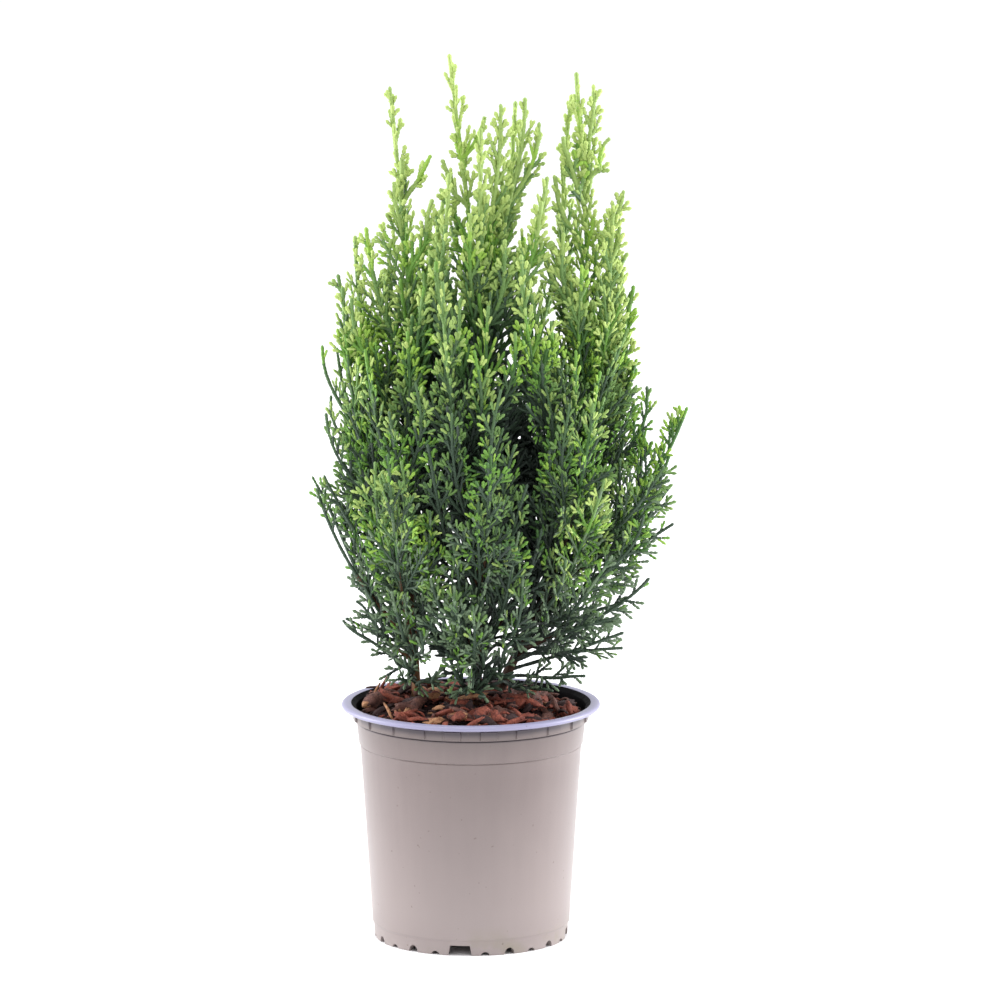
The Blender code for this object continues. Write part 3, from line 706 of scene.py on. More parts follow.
def smooth_path(knots):
    """A smooth curve through all the knots, evenly stepped."""
    knots = np.array(knots)
    ends = np.vstack([knots[:1] * 2 - knots[1:2], knots, knots[-1:] * 2 - knots[-2:-1]])
    points = []
    for index in range(PATH_STEPS + 1):
        place = index / PATH_STEPS * (len(knots) - 1)
        span = min(int(place), len(knots) - 2)
        t = place - span
        a, b, c, d = ends[span : span + 4]
        bend = (2 * a - 5 * b + 4 * c - d) * t * t + (3 * b - a - 3 * c + d) * t**3
        points.append(0.5 * (2 * b + (c - a) * t + bend))
    return np.array(points)


def at_height(path, height):
    """The point where a rising path reaches this height."""
    share = np.interp(height, path[:, 2], np.arange(len(path)))
    low = int(min(share, len(path) - 2))
    return path[low] + (path[low + 1] - path[low]) * (share - low)


def crown_reach(height, angle):
    """How far the crown reaches from the pot's axis at this height and compass angle."""
    rows = np.array(CROWN)
    left, right, deep = (np.interp(height, rows[:, 0], rows[:, column]) for column in (1, 2, 3))
    side = np.where(np.cos(angle) > 0, right, left)
    return 1 / np.hypot(np.cos(angle) / side, np.sin(angle) / deep)


def bough_path(foot, tip, sweep):
    """A curve from foot to tip, which goes outwards at least LEAST_OUT before it turns."""
    out = np.array([tip[0] - foot[0], tip[1] - foot[1], 0.0])
    if np.linalg.norm(out) < LEAST_OUT:
        out *= LEAST_OUT / np.linalg.norm(out)
    rise = np.array([0.0, 0.0, tip[2] - foot[2]])
    first = foot + out * (0.33 + 0.22 * sweep) + rise * (0.33 - 0.14 * sweep)
    second = foot + out * (0.67 + 0.25 * sweep) + rise * (0.67 - 0.12 * sweep)
    t = np.linspace(0, 1, PATH_STEPS + 1)[:, None]
    s = 1 - t
    return foot * s**3 + first * (3 * s * s * t) + second * (3 * s * t * t) + tip * t**3


stem_paths = {stem.name: smooth_path(stem.knots) for stem in STEMS}
Axis = namedtuple("Axis", "tier path")
axes = [Axis("stem", stem_paths[stem.name]) for stem in STEMS]
for bough in BOUGHS:
    foot = at_height(stem_paths[bough.stem], bough.foot)
    angle = math.radians(bough.angle)
    reach = float(crown_reach(bough.tip, angle)) * bough.share
    tip = np.array([reach * math.cos(angle), reach * math.sin(angle), bough.tip])
    axes.append(Axis(bough.tier, bough_path(foot, tip, TIERS[bough.tier].sweep)))
print("axes:", len(axes), "highest tip", round(max(axis.path[-1, 2] for axis in axes), 4))

# %% [markdown]
# ## Bark
# The stems are covered with thin bark that splits into upright ridges, reddish tan at the foot
# and greener above, where young bark still shows through. A tube along each line gives the limb,
# and its surface is pushed in and out by ridges that run along it, so the relief is real shape.

# %% Bark finish


def cypress_bark():
    finish = Finish("bark_cypress", seen(92, 60, 44), 0.85, specular=0.25)
    x, _, z = finish.axes()
    strips = finish.noise(900.0, 4.0, (1.0, 1.0, 0.12))
    patches = finish.noise(130.0, 3.0)
    brown = finish.mix(strips.between(0.36, 0.66), seen(48, 32, 26), seen(112, 80, 58))
    red = finish.mix(patches.between(0.48, 0.68) * 0.6, brown, seen(88, 46, 34))
    tan = finish.mix(x.between(-0.016, -0.024) * z.between(0.175, 0.15) * 0.45, red, seen(140, 106, 72))
    # Painted shade: the right stem, inside the crown, is darker.
    shaded = finish.mix(x.between(0.004, 0.016) * 0.7, tan, seen(46, 34, 29))
    green = finish.mix(strips.between(0.4, 0.6), seen(62, 78, 42), seen(98, 118, 62))
    finish.put({"Base Color": finish.mix(z.between(0.19, 0.29), shaded, green)})
    finish.bump(strips, 0.6, 0.0006)
    return finish.material


BARK = cypress_bark()
print("finish:", BARK.name)

# %% The limbs
STEM_SHOWS, STEM_RINGS = 0.64, 150
FLARE_HEIGHT, FLARE_SHARE = 0.012, 0.35
BOUGH_FOOT, BOUGH_END = 0.0013, 0.0007
STEM_SIDES, STEM_RIDGES, STEM_RELIEF = 18, 5, 0.085
BOUGH_SIDES, BOUGH_RIDGES, BOUGH_RELIEF = 9, 3, 0.07


def frames_along(path):
    """For each point of a path: its direction and two directions across it, turning little."""
    along = np.gradient(path, axis=0)
    along /= np.linalg.norm(along, axis=1)[:, None]
    across = np.cross(along[0], (0.31, 0.95, 0.05))
    rows = []
    for direction in along:
        across = across - direction * (across @ direction)
        across /= np.linalg.norm(across)
        rows.append(across)
    across = np.array(rows)
    return along, across, np.cross(along, across)


def tube_mesh(path, radii, sides, ridges, relief, seed):
    """A closed tapering tube whose surface has ridges that run along it."""
    along, across, other = frames_along(path)
    angles = np.linspace(0, 2 * np.pi, sides, endpoint=False)
    drift = np.cumsum(np.random.default_rng(seed).normal(0, 0.13, len(path)))[:, None]
    broad = np.sin(ridges * angles[None, :] + drift)
    narrow = np.sin((ridges * 2 + 1) * angles[None, :] - 2 * drift)
    size = np.asarray(radii)[:, None] * (1 + relief * (broad + 0.6 * narrow))
    cosines, sines = np.cos(angles)[None, :, None], np.sin(angles)[None, :, None]
    ring = across[:, None, :] * cosines + other[:, None, :] * sines
    points = (path[:, None, :] + ring * size[:, :, None]).reshape(-1, 3)
    rows = np.arange(len(path) - 1)[:, None] * sides
    steps = np.arange(sides)[None, :]
    after = (steps + 1) % sides
    quads = np.stack([rows + steps, rows + after, rows + after + sides, rows + steps + sides], axis=-1)
    foot, tip = len(points), len(points) + 1
    points = np.vstack([points, path[:1], path[-1:]])
    top = (len(path) - 1) * sides
    caps = [(foot, int(b), int(a)) for a, b in zip(steps[0], after[0])]
    caps += [(tip, int(top + a), int(top + b)) for a, b in zip(steps[0], after[0])]
    return points, quads.reshape(-1, 4), np.array(caps)


def mesh_piece(name, chunks, material):
    """One object from many (points, quads, triangles) chunks."""
    points, quads, caps, start = [], [], [], 0
    for chunk_points, chunk_quads, chunk_caps in chunks:
        points.append(chunk_points)
        quads.append(chunk_quads + start)
        caps.append(chunk_caps + start)
        start += len(chunk_points)
    points, quads, caps = np.concatenate(points), np.concatenate(quads), np.concatenate(caps)
    mesh = bpy.data.meshes.new(name)
    mesh.vertices.add(len(points))
    mesh.vertices.foreach_set("co", points.astype(np.float32).ravel())
    corners = np.concatenate([quads.ravel(), caps.ravel()]).astype(np.int32)
    mesh.loops.add(len(corners))
    mesh.loops.foreach_set("vertex_index", corners)
    sizes = np.concatenate([np.full(len(quads), 4), np.full(len(caps), 3)])
    mesh.polygons.add(len(sizes))
    starts = np.concatenate([[0], np.cumsum(sizes)[:-1]]).astype(np.int32)
    mesh.polygons.foreach_set("loop_start", starts)
    mesh.update(calc_edges=True)
    mesh.validate()
    mesh.materials.append(material)
    piece = bpy.data.objects.new(name, mesh)
    bpy.context.scene.collection.objects.link(piece)
    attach(piece, "root")
    return piece


def flare(path, foot_height):
    """How much wider the limb is near the ground, where it spreads into its roots."""
    near = np.clip(1 - (path[:, 2] - foot_height) / FLARE_HEIGHT, 0, 1)
    return 1 + FLARE_SHARE * near * near


def stem_tube(index):
    """A stem's lower part in fine steps, with a foot that runs on into the soil."""
    whole = axes[index].path
    path = whole[: round(STEM_SHOWS * PATH_STEPS) + 1]
    dense = np.linspace(0, len(path) - 1, STEM_RINGS)
    path = np.stack([np.interp(dense, np.arange(len(path)), path[:, k]) for k in range(3)], axis=1)
    share = (path[:, 2] - path[0, 2]) / (whole[-1, 2] - path[0, 2])
    radii = STEMS[index].radius * (1 - 0.72 * share) * flare(path, GROUND)
    path = np.vstack([path[0] - (0, 0, 0.006), path])
    radii = np.concatenate([[radii[0] * 1.1], radii])
    return tube_mesh(path, radii, STEM_SIDES, STEM_RIDGES, STEM_RELIEF, index)


def bough_tube(index):
    """A bough from its stem to where its foliage hides it."""
    bare = max(TIERS[axes[index].tier].bare, 0.12)
    path = axes[index].path[: round((bare + 0.22) * PATH_STEPS) + 1]
    radii = BOUGH_FOOT + (BOUGH_END - BOUGH_FOOT) * np.linspace(0, 1, len(path))
    return tube_mesh(path, radii, BOUGH_SIDES, BOUGH_RIDGES, BOUGH_RELIEF, index)


limb_chunks = [stem_tube(index) for index in range(len(STEMS))]
limb_chunks += [bough_tube(index) for index in range(len(STEMS), len(axes))]
limbs = mesh_piece("stems_and_boughs", limb_chunks, BARK)
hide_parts(*LIMB_NODES)
smoothed(limbs, 60)
print("limbs:", len(limbs.data.polygons), "faces")

# %% [markdown]
# ## Foliage
# The leaves are tiny scales that hug the shoots in pairs, each pair's tips standing off a little,
# so a shoot looks toothed. One shoot is a flat tube with a waist and a flare for every pair, and
# its last two pairs make a swollen, rounded club. Deep inside the plant the scales can't be told
# apart, so a shoot there is a plain flat tube with few faces. Thousands of shoots are needed, so
# they are written as arrays: one template for each number of pairs, placed at all the roots at
# once.

# %% One shoot as an array
SCALE_PITCH = 0.0019
WAIST, FLARE_OUT = 0.66, 1.0
Shoot = namedtuple("Shoot", "root direction normal length bend width flatness")


def scaled_rows(pairs, club):
    """A scaled shoot's rings: their place in pairs, half-width and half-thickness."""
    rows = []
    for pair in range(pairs):
        swell = 1.0 + (0.08 if club and pair == pairs - 1 else 0.0)
        rows.append((pair, WAIST * swell, 0.84))
        rows.append((pair + 0.72, FLARE_OUT * swell, swell))
    if club:
        rows.append((pairs + 0.15, 0.7, 0.8))
    return np.array(rows)


def plain_rows(pairs):
    """A plain shoot's rings, three pairs apart and drawn in at the tip."""
    rows = [(place, 0.95, 1.0) for place in range(0, pairs, 3)]
    return np.array(rows + [(pairs - 0.4, 0.8, 0.8)])


def shoots_mesh(kind, pairs, roots, directions, normals, lengths, bends, widths, flatness):
    """All the shoots of one kind and number of pairs, as points, quads and triangles."""
    rows = plain_rows(pairs) if kind == "plain" else scaled_rows(pairs, kind == "club")
    count, rings = len(roots), len(rows)
    sides = np.cross(normals, directions)
    share = rows[:, 0] / pairs
    spine = roots[:, None, :] + directions[:, None, :] * (lengths[:, None] * share)[:, :, None]
    spine += bends[:, None, :] * (share**2)[None, :, None]
    wide = (sides[:, None, :] * rows[None, :, 1:2]) * widths[:, None, None]
    thick = (normals[:, None, :] * rows[None, :, 2:3]) * (widths * flatness)[:, None, None]
    ring = np.stack([spine + wide, spine + thick, spine - wide, spine - thick], axis=2)
    reach = 1.0 + {"club": 0.5, "body": 0.0, "plain": 0.1}[kind] / pairs
    tips = roots + directions * (lengths * reach)[:, None] + bends * reach**2
    points = np.concatenate([ring.reshape(count, rings * 4, 3), tips[:, None, :]], axis=1)
    steps, top, tip = range(4), (rings - 1) * 4, rings * 4
    quads = [(0, 3, 2, 1)]
    for row in range(0, top, 4):
        quads += [(row + a, row + (a + 1) % 4, row + 4 + (a + 1) % 4, row + 4 + a) for a in steps]
    caps = [(tip, top + a, top + (a + 1) % 4) for a in steps]
    start = (np.arange(count) * (rings * 4 + 1))[:, None, None]
    return (
        points.reshape(-1, 3),
        (np.array(quads)[None] + start).reshape(-1, 4),
        (np.array(caps)[None] + start).reshape(-1, 3),
    )


def point_on(shoot, place):
    """The point on a shoot this far from its root."""
    share = place / shoot.length
    return shoot.root + shoot.direction * place + shoot.bend * share**2


def heading_on(shoot, place):
    """The direction in which a shoot runs there."""
    return unit(shoot.direction * shoot.length + shoot.bend * (2 * place / shoot.length))


def unit(vector):
    return vector / np.linalg.norm(vector)


def squared_to(normal, direction):
    """The part of the normal at right angles to the direction."""
    return unit(normal - direction * (normal @ direction))


def turned_about(vector, axle, angle):
    """The vector turned about the axle."""
    across = np.cross(axle, vector)
    along = axle * (axle @ vector)
    return along + (vector - along) * math.cos(angle) + across * math.sin(angle)


print("a scaled shoot of 4 pairs has", (len(scaled_rows(4, True)) - 1) * 8 + 6, "triangles")

# %% [markdown]
# Young growth is lime, the middle of a spray fresh green, and old or shaded growth deep and
# almost blue. Those colours have a place on the plant, so they are dealt out: each shoot gets a
# score for its height, its depth in the crown and its place on the spray, with some luck for the
# whole spray, and the score picks one of six plain greens. The depth darkens the greens both for
# older growth and as painted shade inside the crown. Near the ground the greens are weathered to
# sage, and in patches the greens are purer, but not at the top.

# %% Greens
GREENS = {
    "shade": seen(58, 70, 62),
    "deep": seen(60, 78, 62),
    "mid": seen(73, 99, 65),
    "fresh": seen(102, 134, 74),
    "light": seen(140, 166, 91),
    "lime": seen(166, 188, 106),
    "sage": seen(102, 122, 95),
    "moss": seen(68, 103, 54),
    "vivid": seen(99, 141, 58),
    "bright": seen(137, 174, 70),
}
GREEN_NAMES = list(GREENS)
LEVELS = GREEN_NAMES[:6]
GREEN_FINISHES = {}
for name, tone in GREENS.items():
    GREEN_FINISHES[name] = Finish("leaf_" + name, tone, 0.6, specular=0.3).material
WEATHERED = {"mid": "sage", "fresh": "sage", "light": "fresh", "lime": "fresh"}
LIVELY = {"mid": "moss", "fresh": "vivid", "light": "bright"}
SCORE_HEIGHTS = (0.13, 0.20, 0.25, 0.31, 0.37, 0.43)
SCORES = (1.1, 1.3, 1.7, 2.8, 3.6, 4.1)
WEATHERED_BELOW = 0.195
print("greens:", ", ".join(GREEN_NAMES))

# %% How the place sets the look of a shoot


def outer_share(point):
    """0 on the pot's axis, 1 on the crown's outline."""
    angle = math.atan2(point[1], point[0])
    return float(np.hypot(point[0], point[1]) / crown_reach(point[2], angle))


def youth(height):
    """0 in the old lower growth, 1 in the young top."""
    return float(np.clip((height - 0.26) / 0.12, 0, 1))


def half_width(height):
    """Half a shoot's width: young shoots are plumper."""
    return 0.00080 + 0.00030 * youth(height)


def score_at(point):
    """From 0, deep shade, to 5, lime."""
    # Deep in the crown the score drops: painted shade, along with older growth.
    depth = max(0.0, 0.75 - outer_share(point)) * (1 - youth(point[2]))
    return float(np.interp(point[2], SCORE_HEIGHTS, SCORES)) - 2.2 * depth


def is_lively(point):
    """True in patches about as large as a spray, below the young top."""
    x, y, z = point
    wave = math.sin(230 * x + 1.0) + math.sin(210 * y + 2.0) + math.sin(130 * z + 0.5)
    return wave > 0.1 + 2.5 * max(0.0, youth(z) - 0.4)


def is_deep(point):
    """True where the scales can't be told apart."""
    return outer_share(point) < 0.42 and point[2] < 0.32


scores = [round(score_at((0.05, 0.0, height)), 1) for height in (0.15, 0.28, 0.42)]
print("scores at the foot, in the middle and at the top:", scores)

# %% [markdown]
# The growth rule goes from the thick to the fine. Sprays leave each limb by the golden angle.
# Side shoots leave a spray by turns to left and right in its plane, leaning forward like the
# barbs of a feather, and the longer ones carry small shoots in the same way. A spray that would
# leave the crown's outline, or run deep into a neighbour's space, is shortened, and in the end
# left out. Sprays turn their faces towards the light, more or less.

# %% Side shoots
UP = np.array([0.0, 0.0, 1.0])
rng = np.random.default_rng(12)
wardrobe = {}


def wear(kind, shoot, pairs, score):
    """Books a shoot in the green that its score picks."""
    green = LEVELS[min(max(round(score), 0), len(LEVELS) - 1)]
    if shoot.root[2] < WEATHERED_BELOW + 0.02 * rng.normal():
        green = WEATHERED.get(green, green)
    if is_lively(shoot.root):
        green = LIVELY.get(green, green)
    wardrobe.setdefault((green, kind, pairs), []).append(shoot)


def dress(shoot, score, tip_gain):
    """One shoot: a plain tube deep inside, else a body and a lighter club."""
    pairs = max(2, round(shoot.length / SCALE_PITCH))
    if is_deep(shoot.root):
        wear("plain", shoot._replace(width=shoot.width * 1.15), pairs, score)
        return
    body = pairs - 2
    if body > 0:
        share = body / pairs
        lower = shoot._replace(length=shoot.length * share, bend=shoot.bend * share**2)
        wear("body", lower, body, score)
    start = shoot.length * body / pairs
    heading = heading_on(shoot, start)
    club = shoot._replace(
        root=point_on(shoot, start),
        direction=heading,
        normal=squared_to(shoot.normal, heading),
        length=shoot.length - start,
        bend=shoot.bend * 0.02,
    )
    wear("club", club, 2, score + tip_gain)


def fading(length):
    """Lengths that grow less along the parent."""
    return lambda share: length * (1.5 - 0.9 * share)


def side_shoots(parent, first, last, step, size_at, order, score):
    """Side shoots by turns to left and right, in the parent's plane and leaning forward.

    They leave the parent from first to last, by about a step, and size_at gives their length.
    """
    side = rng.choice((-1, 1))
    place = first
    while place < last:
        share = place / parent.length
        heading = heading_on(parent, place)
        lean = math.radians((40 - 12 * share) * rng.uniform(0.85, 1.15)) * side
        outward = turned_about(heading, parent.normal, lean)
        outward = unit(outward + parent.normal * rng.normal(0, 0.09))
        length = size_at(share) * rng.uniform(0.75, 1.15)
        pull = squared_to(heading, outward) * length * 0.12
        root = point_on(parent, place)
        width = half_width(root[2])
        shoot = Shoot(root, outward, squared_to(parent.normal, outward), length, pull, width, 0.62)
        dress(shoot, score + 0.4 * share, 1.5 - 0.5 * youth(root[2]))
        if order == 1 and length > 0.0062 and not is_deep(root):
            sizes = fading(0.15 * length + 0.0018)
            side_shoots(shoot, length * 0.36, length - 0.0032, 0.0031, sizes, 2, score + 0.3)
        side = -side
        place += step * rng.uniform(0.8, 1.2)


print("side shoots ready")

# %% [markdown]
# A spray is a shoot with side shoots, which are longest near its foot. It is flat, and its face is
# turned towards the light, as far as its direction lets it. The young end of a limb is green too:
# between its sprays, scales cover the limb itself.

# %% Sprays
LIGHT = np.array([0.05, -0.96, 0.28])
SIDE_STEP, YOUNG_STEP, DEEP_STEP = 0.0037, 0.0007, 0.0006
LONGEST_SIDE = 0.019


def spray(root, direction, length, lift, luck, face, loose):
    """One flat spray with its face turned the given way, more or less."""
    bend = (UP - direction * direction[2]) * length * lift * rng.uniform(0.4, 1.2)
    normal = squared_to(face + 0.02 * UP, direction)
    normal = turned_about(normal, direction, rng.normal(0, loose))
    width = half_width(root[2]) * 1.1
    middle = root + direction * length * 0.6
    score = score_at(middle) + luck
    shoot = Shoot(root, direction, normal, length, bend, width, 0.75)
    dress(shoot, score - 0.4 + 0.5 * youth(middle[2]), 1.6)
    young = youth(middle[2])
    step = SIDE_STEP + YOUNG_STEP * young + (DEEP_STEP if is_deep(root) else 0.0)
    longest = min(LONGEST_SIDE, length * (0.50 - 0.18 * young))

    def size_at(share):
        return 0.0026 + longest * (1 - share) ** 0.9 * min(1.0, 0.55 + 2.4 * share)

    side_shoots(shoot, 0.0028, length - max(0.0034, 0.15 * length), step, size_at, 1, score)


def scales_on(axis, start_share, luck):
    """Scales on the young end of a limb, as two crossed rows of short shoots."""
    across = frames_along(axis.path)[1]
    first = int(start_share * PATH_STEPS)
    for low in range(first, PATH_STEPS, 2):
        high = min(low + 2, PATH_STEPS)
        step = axis.path[high] - axis.path[low]
        length = float(np.linalg.norm(step)) * (1.0 if high == PATH_STEPS else 1.35)
        width = half_width(axis.path[low, 2]) * (1.5 - 0.4 * low / PATH_STEPS)
        score = score_at(axis.path[low]) + luck - 0.2 + 0.5 * youth(axis.path[low, 2])
        score += 0.8 * max(0.0, low / PATH_STEPS - 0.7)
        pairs = max(2, round(length / SCALE_PITCH))
        direction = unit(step)
        normal = squared_to(turned_about(across[low], direction, rng.uniform(-0.5, 0.5)), direction)
        kind = "club" if high == PATH_STEPS else "body"
        shoot = Shoot(axis.path[low], direction, normal, length, np.zeros(3), width, 0.95)
        wear(kind, shoot, pairs, score)


print("sprays ready")

# %% [markdown]
# Each kind of limb has its habit: from which share of its length sprays start, the step between
# them, their greatest length and the share of what is left of the limb that they take, their tilt
# in degrees, how much they rise at once and how much they lift towards their tip, the share from
# which scales cover the limb itself, whether the sprays keep to one plane, and a gain in
# brightness.

# %% How each kind of limb grows
GOLDEN_TURN = math.radians(137.5)
Habit = namedtuple("Habit", "start step longest spread tilt rise lift young flat luck")
# Painted shade: the heart and inner limbs have a negative gain, so their greens are darker.
HABITS = {
    "stem": Habit(0.05, 0.0050, 0.044, 0.28, 38, 0.24, 0.20, 0.50, False, 0.0),
    "top": Habit(0.06, 0.0058, 0.030, 0.26, 25, 0.30, 0.20, 0.10, False, 0.0),
    "shoulder": Habit(0.16, 0.0054, 0.040, 0.34, 30, 0.22, 0.18, 0.32, False, 0.0),
    "waist": Habit(0.18, 0.0050, 0.042, 0.44, 36, 0.12, 0.12, 0.40, False, 0.0),
    "skirt": Habit(0.16, 0.0058, 0.036, 0.50, 38, 0.00, 0.04, 0.45, False, 0.0),
    "heart": Habit(0.05, 0.0050, 0.044, 0.42, 38, 0.15, 0.16, 0.30, False, -0.4),
    "twig": Habit(0.12, 0.0048, 0.020, 0.32, 32, 0.18, 0.16, 0.0, True, 0.0),
    "fan": Habit(0.36, 0.0076, 0.030, 0.42, 40, 0.00, 0.06, 0.0, True, 0.0),
    "frond": Habit(0.28, 0.0050, 0.028, 0.38, 38, 0.05, 0.10, 0.0, True, 0.5),
    "inner": Habit(0.14, 0.0060, 0.036, 0.50, 44, 0.06, 0.06, 0.0, False, -1.3),
}
# Limbs in full sun, by kind and number.
SUNNY = {
    ("frond", 1): 0.6,
    ("frond", 2): 0.6,
    ("frond", 3): 0.4,
    ("frond", 23): 1.0,
    ("waist", 1): 0.6,
    ("waist", 4): 0.5,
    ("waist", 6): 0.4,
    ("skirt", 4): 0.4,
}
print("habits:", ", ".join(HABITS))

# %% [markdown]
# A spray needs room: all of it has to lie inside the crown's outline and not deep in a
# neighbour's space. The picture's outline has notches that the smooth crown has not, so it is
# trimmed by rows: a height, and how far the outline moves at the left and at the right, where a
# minus means inwards. Near a limb's tip there is some slack, or the tip would be left bare.

# %% Room for a spray
TANGLE = 0.020
TRIMS = np.array(
    (
        (0.125, -0.006, -0.004),
        (0.150, -0.020, -0.008),
        (0.175, -0.019, -0.014),
        (0.200, -0.017, -0.014),
        (0.225, -0.006, -0.009),
        (0.248, -0.016, -0.010),
        (0.262, -0.013, -0.013),
        (0.292, -0.014, -0.012),
        (0.308, -0.003, -0.009),
        (0.335, -0.006, 0.000),
        (0.350, -0.010, 0.000),
        (0.376, -0.012, -0.004),
        (0.400, -0.011, -0.004),
        (0.412, -0.006, 0.000),
    )
)
SLACKS = {"fan": 0.008, "twig": 0.002, "frond": 0.004}
TIP_SLACK, TIP_REACH = 0.010, 0.032
path_points = np.concatenate([axis.path for axis in axes])
path_owner = np.repeat(np.arange(len(axes)), PATH_STEPS + 1)


def has_room(points, owner, home, slack):
    """True where every point is inside the crown and not deep in a neighbour's space."""
    angle = np.arctan2(points[:, 1], points[:, 0])
    trims = [np.interp(points[:, 2], TRIMS[:, 0], TRIMS[:, column]) for column in (1, 2)]
    side = np.where(np.cos(angle) > 0, trims[1], trims[0]) * abs(np.cos(angle))
    reach = crown_reach(points[:, 2], angle) + side + slack
    if np.any(np.hypot(points[:, 0], points[:, 1]) > reach):
        return False
    if np.any(points[:, 2] < GROUND + 0.003) or np.any(points[:, 2] > cad_box[1][2] + 0.001):
        return False
    own = np.linalg.norm(points[:, None, :] - home[None, :, :], axis=2).min(axis=1)
    others = path_points[path_owner != owner]
    gaps = np.linalg.norm(points[:, None, :] - others[None, :, :], axis=2)
    return bool(np.all(own < gaps.min(axis=1) + TANGLE))


def fitted_length(root, heading, length, lift, owner, home, least=0.0036, slack=0.0):
    """The length, or the largest share of it that has room, or nothing."""
    for scale in (1.0, 0.8, 0.64, 0.5, 0.38, 0.28):
        probes = root + heading * (length * scale * np.array([0.5, 0.8, 1.0])[:, None])
        probes[:, 2] += length * scale * lift * 0.5
        if length * scale > least and has_room(probes, owner, home, slack):
            return length * scale
    return 0.0


def steps_along(axis, start, step):
    """Points along a limb, with its direction and one direction across, by random steps."""
    lengths = np.concatenate([[0], np.cumsum(np.linalg.norm(np.diff(axis.path, axis=0), axis=1))])
    along, across, _ = frames_along(axis.path)
    total = lengths[-1]
    place = start * total
    while place < total - 0.005:
        row = float(np.interp(place, lengths, np.arange(len(axis.path))))
        low = min(int(row), PATH_STEPS - 1)
        root = axis.path[low] + (axis.path[low + 1] - axis.path[low]) * (row - low)
        yield root, along[low], across[low], total - place
        place += min(step, 0.0036 + 0.06 * (total - place)) * rng.uniform(0.75, 1.25)


print("crown trimmed at", len(TRIMS), "heights")

# %% [markdown]
# Leaders are the long twigs that stand out in the picture: slender points at the top, twigs that
# rise beside the limbs, level fans at the flanks, fronds that lean out in front, and inner ones
# in the dark that close the view through the crown. A row holds the height at which the leader
# leaves its stem, and the place of its tip, read off the picture, in whole millimetres.

# %% Leaders
MM = 0.001
LEADERS = {
    ("twig", "left"): (
        (372, -20, 0, 396), (375, -34, -4, 394), (350, -38, -10, 384), (330, -19, -16, 376),
        (290, -52, 4, 359), (300, -41, 12, 343), (250, -66, 0, 336), (262, -59, -14, 326),
        (220, -74, 0, 300), (215, -70, 12, 273), (190, -72, -12, 268), (262, -23, -28, 334),
        (235, -31, -36, 313), (215, -52, -30, 303), (200, -27, -46, 289), (190, -40, -48, 275),
    ),
    ("twig", "middle"): (
        (372, -14, -2, 394), (395, 7, 4, 415), (330, 15, -6, 422), (320, 27, 4, 424), (345, 34, 8, 411),
        (300, 38, -8, 386), (345, -15, 10, 378), (290, 35, -24, 376), (300, 0, -26, 370),
        (285, 17, -30, 358), (262, -17, -30, 347), (250, -5, -40, 330), (250, 9, -44, 327),
        (235, 22, -44, 314), (225, 2, -52, 306), (215, -12, -46, 305), (200, 15, -56, 287),
        (190, -9, -54, 275), (180, 22, -52, 259), (175, -21, -46, 258), (165, 28, -46, 238),
    ),
    ("twig", "right"): (
        (372, 61, 8, 430), (380, 69, -2, 405), (372, 46, -4, 406), (345, 42, 4, 385), (330, 76, 2, 378),
        (318, 74, -12, 362), (300, 78, 6, 346), (262, 81, -4, 331), (290, 46, -22, 360),
        (262, 55, -28, 345), (250, 78, -14, 311), (232, 82, 4, 291), (205, 88, 4, 279),
        (262, 30, -20, 329), (250, 40, -36, 318), (225, 52, -46, 305), (215, 64, -42, 294),
        (205, 37, -36, 286), (190, 49, -50, 279), (180, 39, -40, 254),
    ),
    ("fan", "left"): (
        (170, -67, 0, 242), (162, -73, -8, 236), (154, -79, 0, 234), (146, -60, -12, 196),
        (140, -59, 4, 185), (136, -64, -4, 162), (142, -57, -16, 174), (132, -44, -12, 152),
    ),
    ("fan", "right"): (
        (172, 99, -6, 246), (168, 96, -22, 243), (160, 99, 4, 228), (150, 86, -20, 218),
        (158, 101, -4, 211), (146, 89, 2, 182), (138, 76, -14, 173), (134, 76, -6, 156),
        (142, 76, 6, 146), (130, 57, -16, 136), (128, 28, -18, 128), (127, 41, -14, 128),
    ),
    ("frond", "left"): (
        (146, -47, -50, 250), (154, -34, -54, 251), (142, -20, -46, 225), (138, -39, -44, 184),
        (128, -33, -22, 147), (130, -35, -22, 138), (127, -17, -30, 141), (134, -25, -34, 162),
    ),
    ("frond", "middle"): (
        (132, -20, -46, 191), (130, -8, -52, 188), (128, 1, -50, 178), (126, 8, -44, 167),
        (150, 4, -56, 231), (144, -9, -50, 211), (140, 24, -50, 215), (136, 26, -42, 190),
        (127, 21, -30, 156), (126, -12, -36, 151), (130, -5, -36, 133), (127, 4, -32, 129),
        (134, -13, -34, 160), (127, 13, -26, 142),
    ),
    ("frond", "right"): (
        (160, 66, -50, 241), (154, 70, -44, 202), (150, 47, -44, 200),
    ),
    ("inner", "left"): (
        (150, -18, 14, 220), (170, -17, 6, 257), (210, -20, 18, 280), (250, -19, 14, 327),
        (160, -12, 26, 208), (230, -16, 30, 268),
    ),
    ("inner", "middle"): (
        (170, 29, 22, 254), (190, 21, 26, 277), (210, 25, 14, 301), (160, -12, 16, 271),
        (140, -10, 14, 169), (180, 21, 32, 255), (160, 25, 30, 207), (205, 22, 34, 275),
        (220, 18, 30, 293), (150, 15, 30, 228), (178, 17, 20, 264), (165, 13, 24, 247),
    ),
    ("inner", "right"): (
        (170, 34, 10, 246), (150, 37, -4, 213), (200, 29, 20, 280), (140, 45, 10, 170),
        (150, 25, 16, 189), (190, 25, 26, 268), (175, 33, 30, 254), (165, 27, 28, 233),
        (205, 38, 36, 265), (150, 38, 30, 207), (215, 30, 34, 282), (178, 24, 20, 262),
        (160, 22, 22, 246),
    ),
}
print("leaders:", sum(map(len, LEADERS.values())))

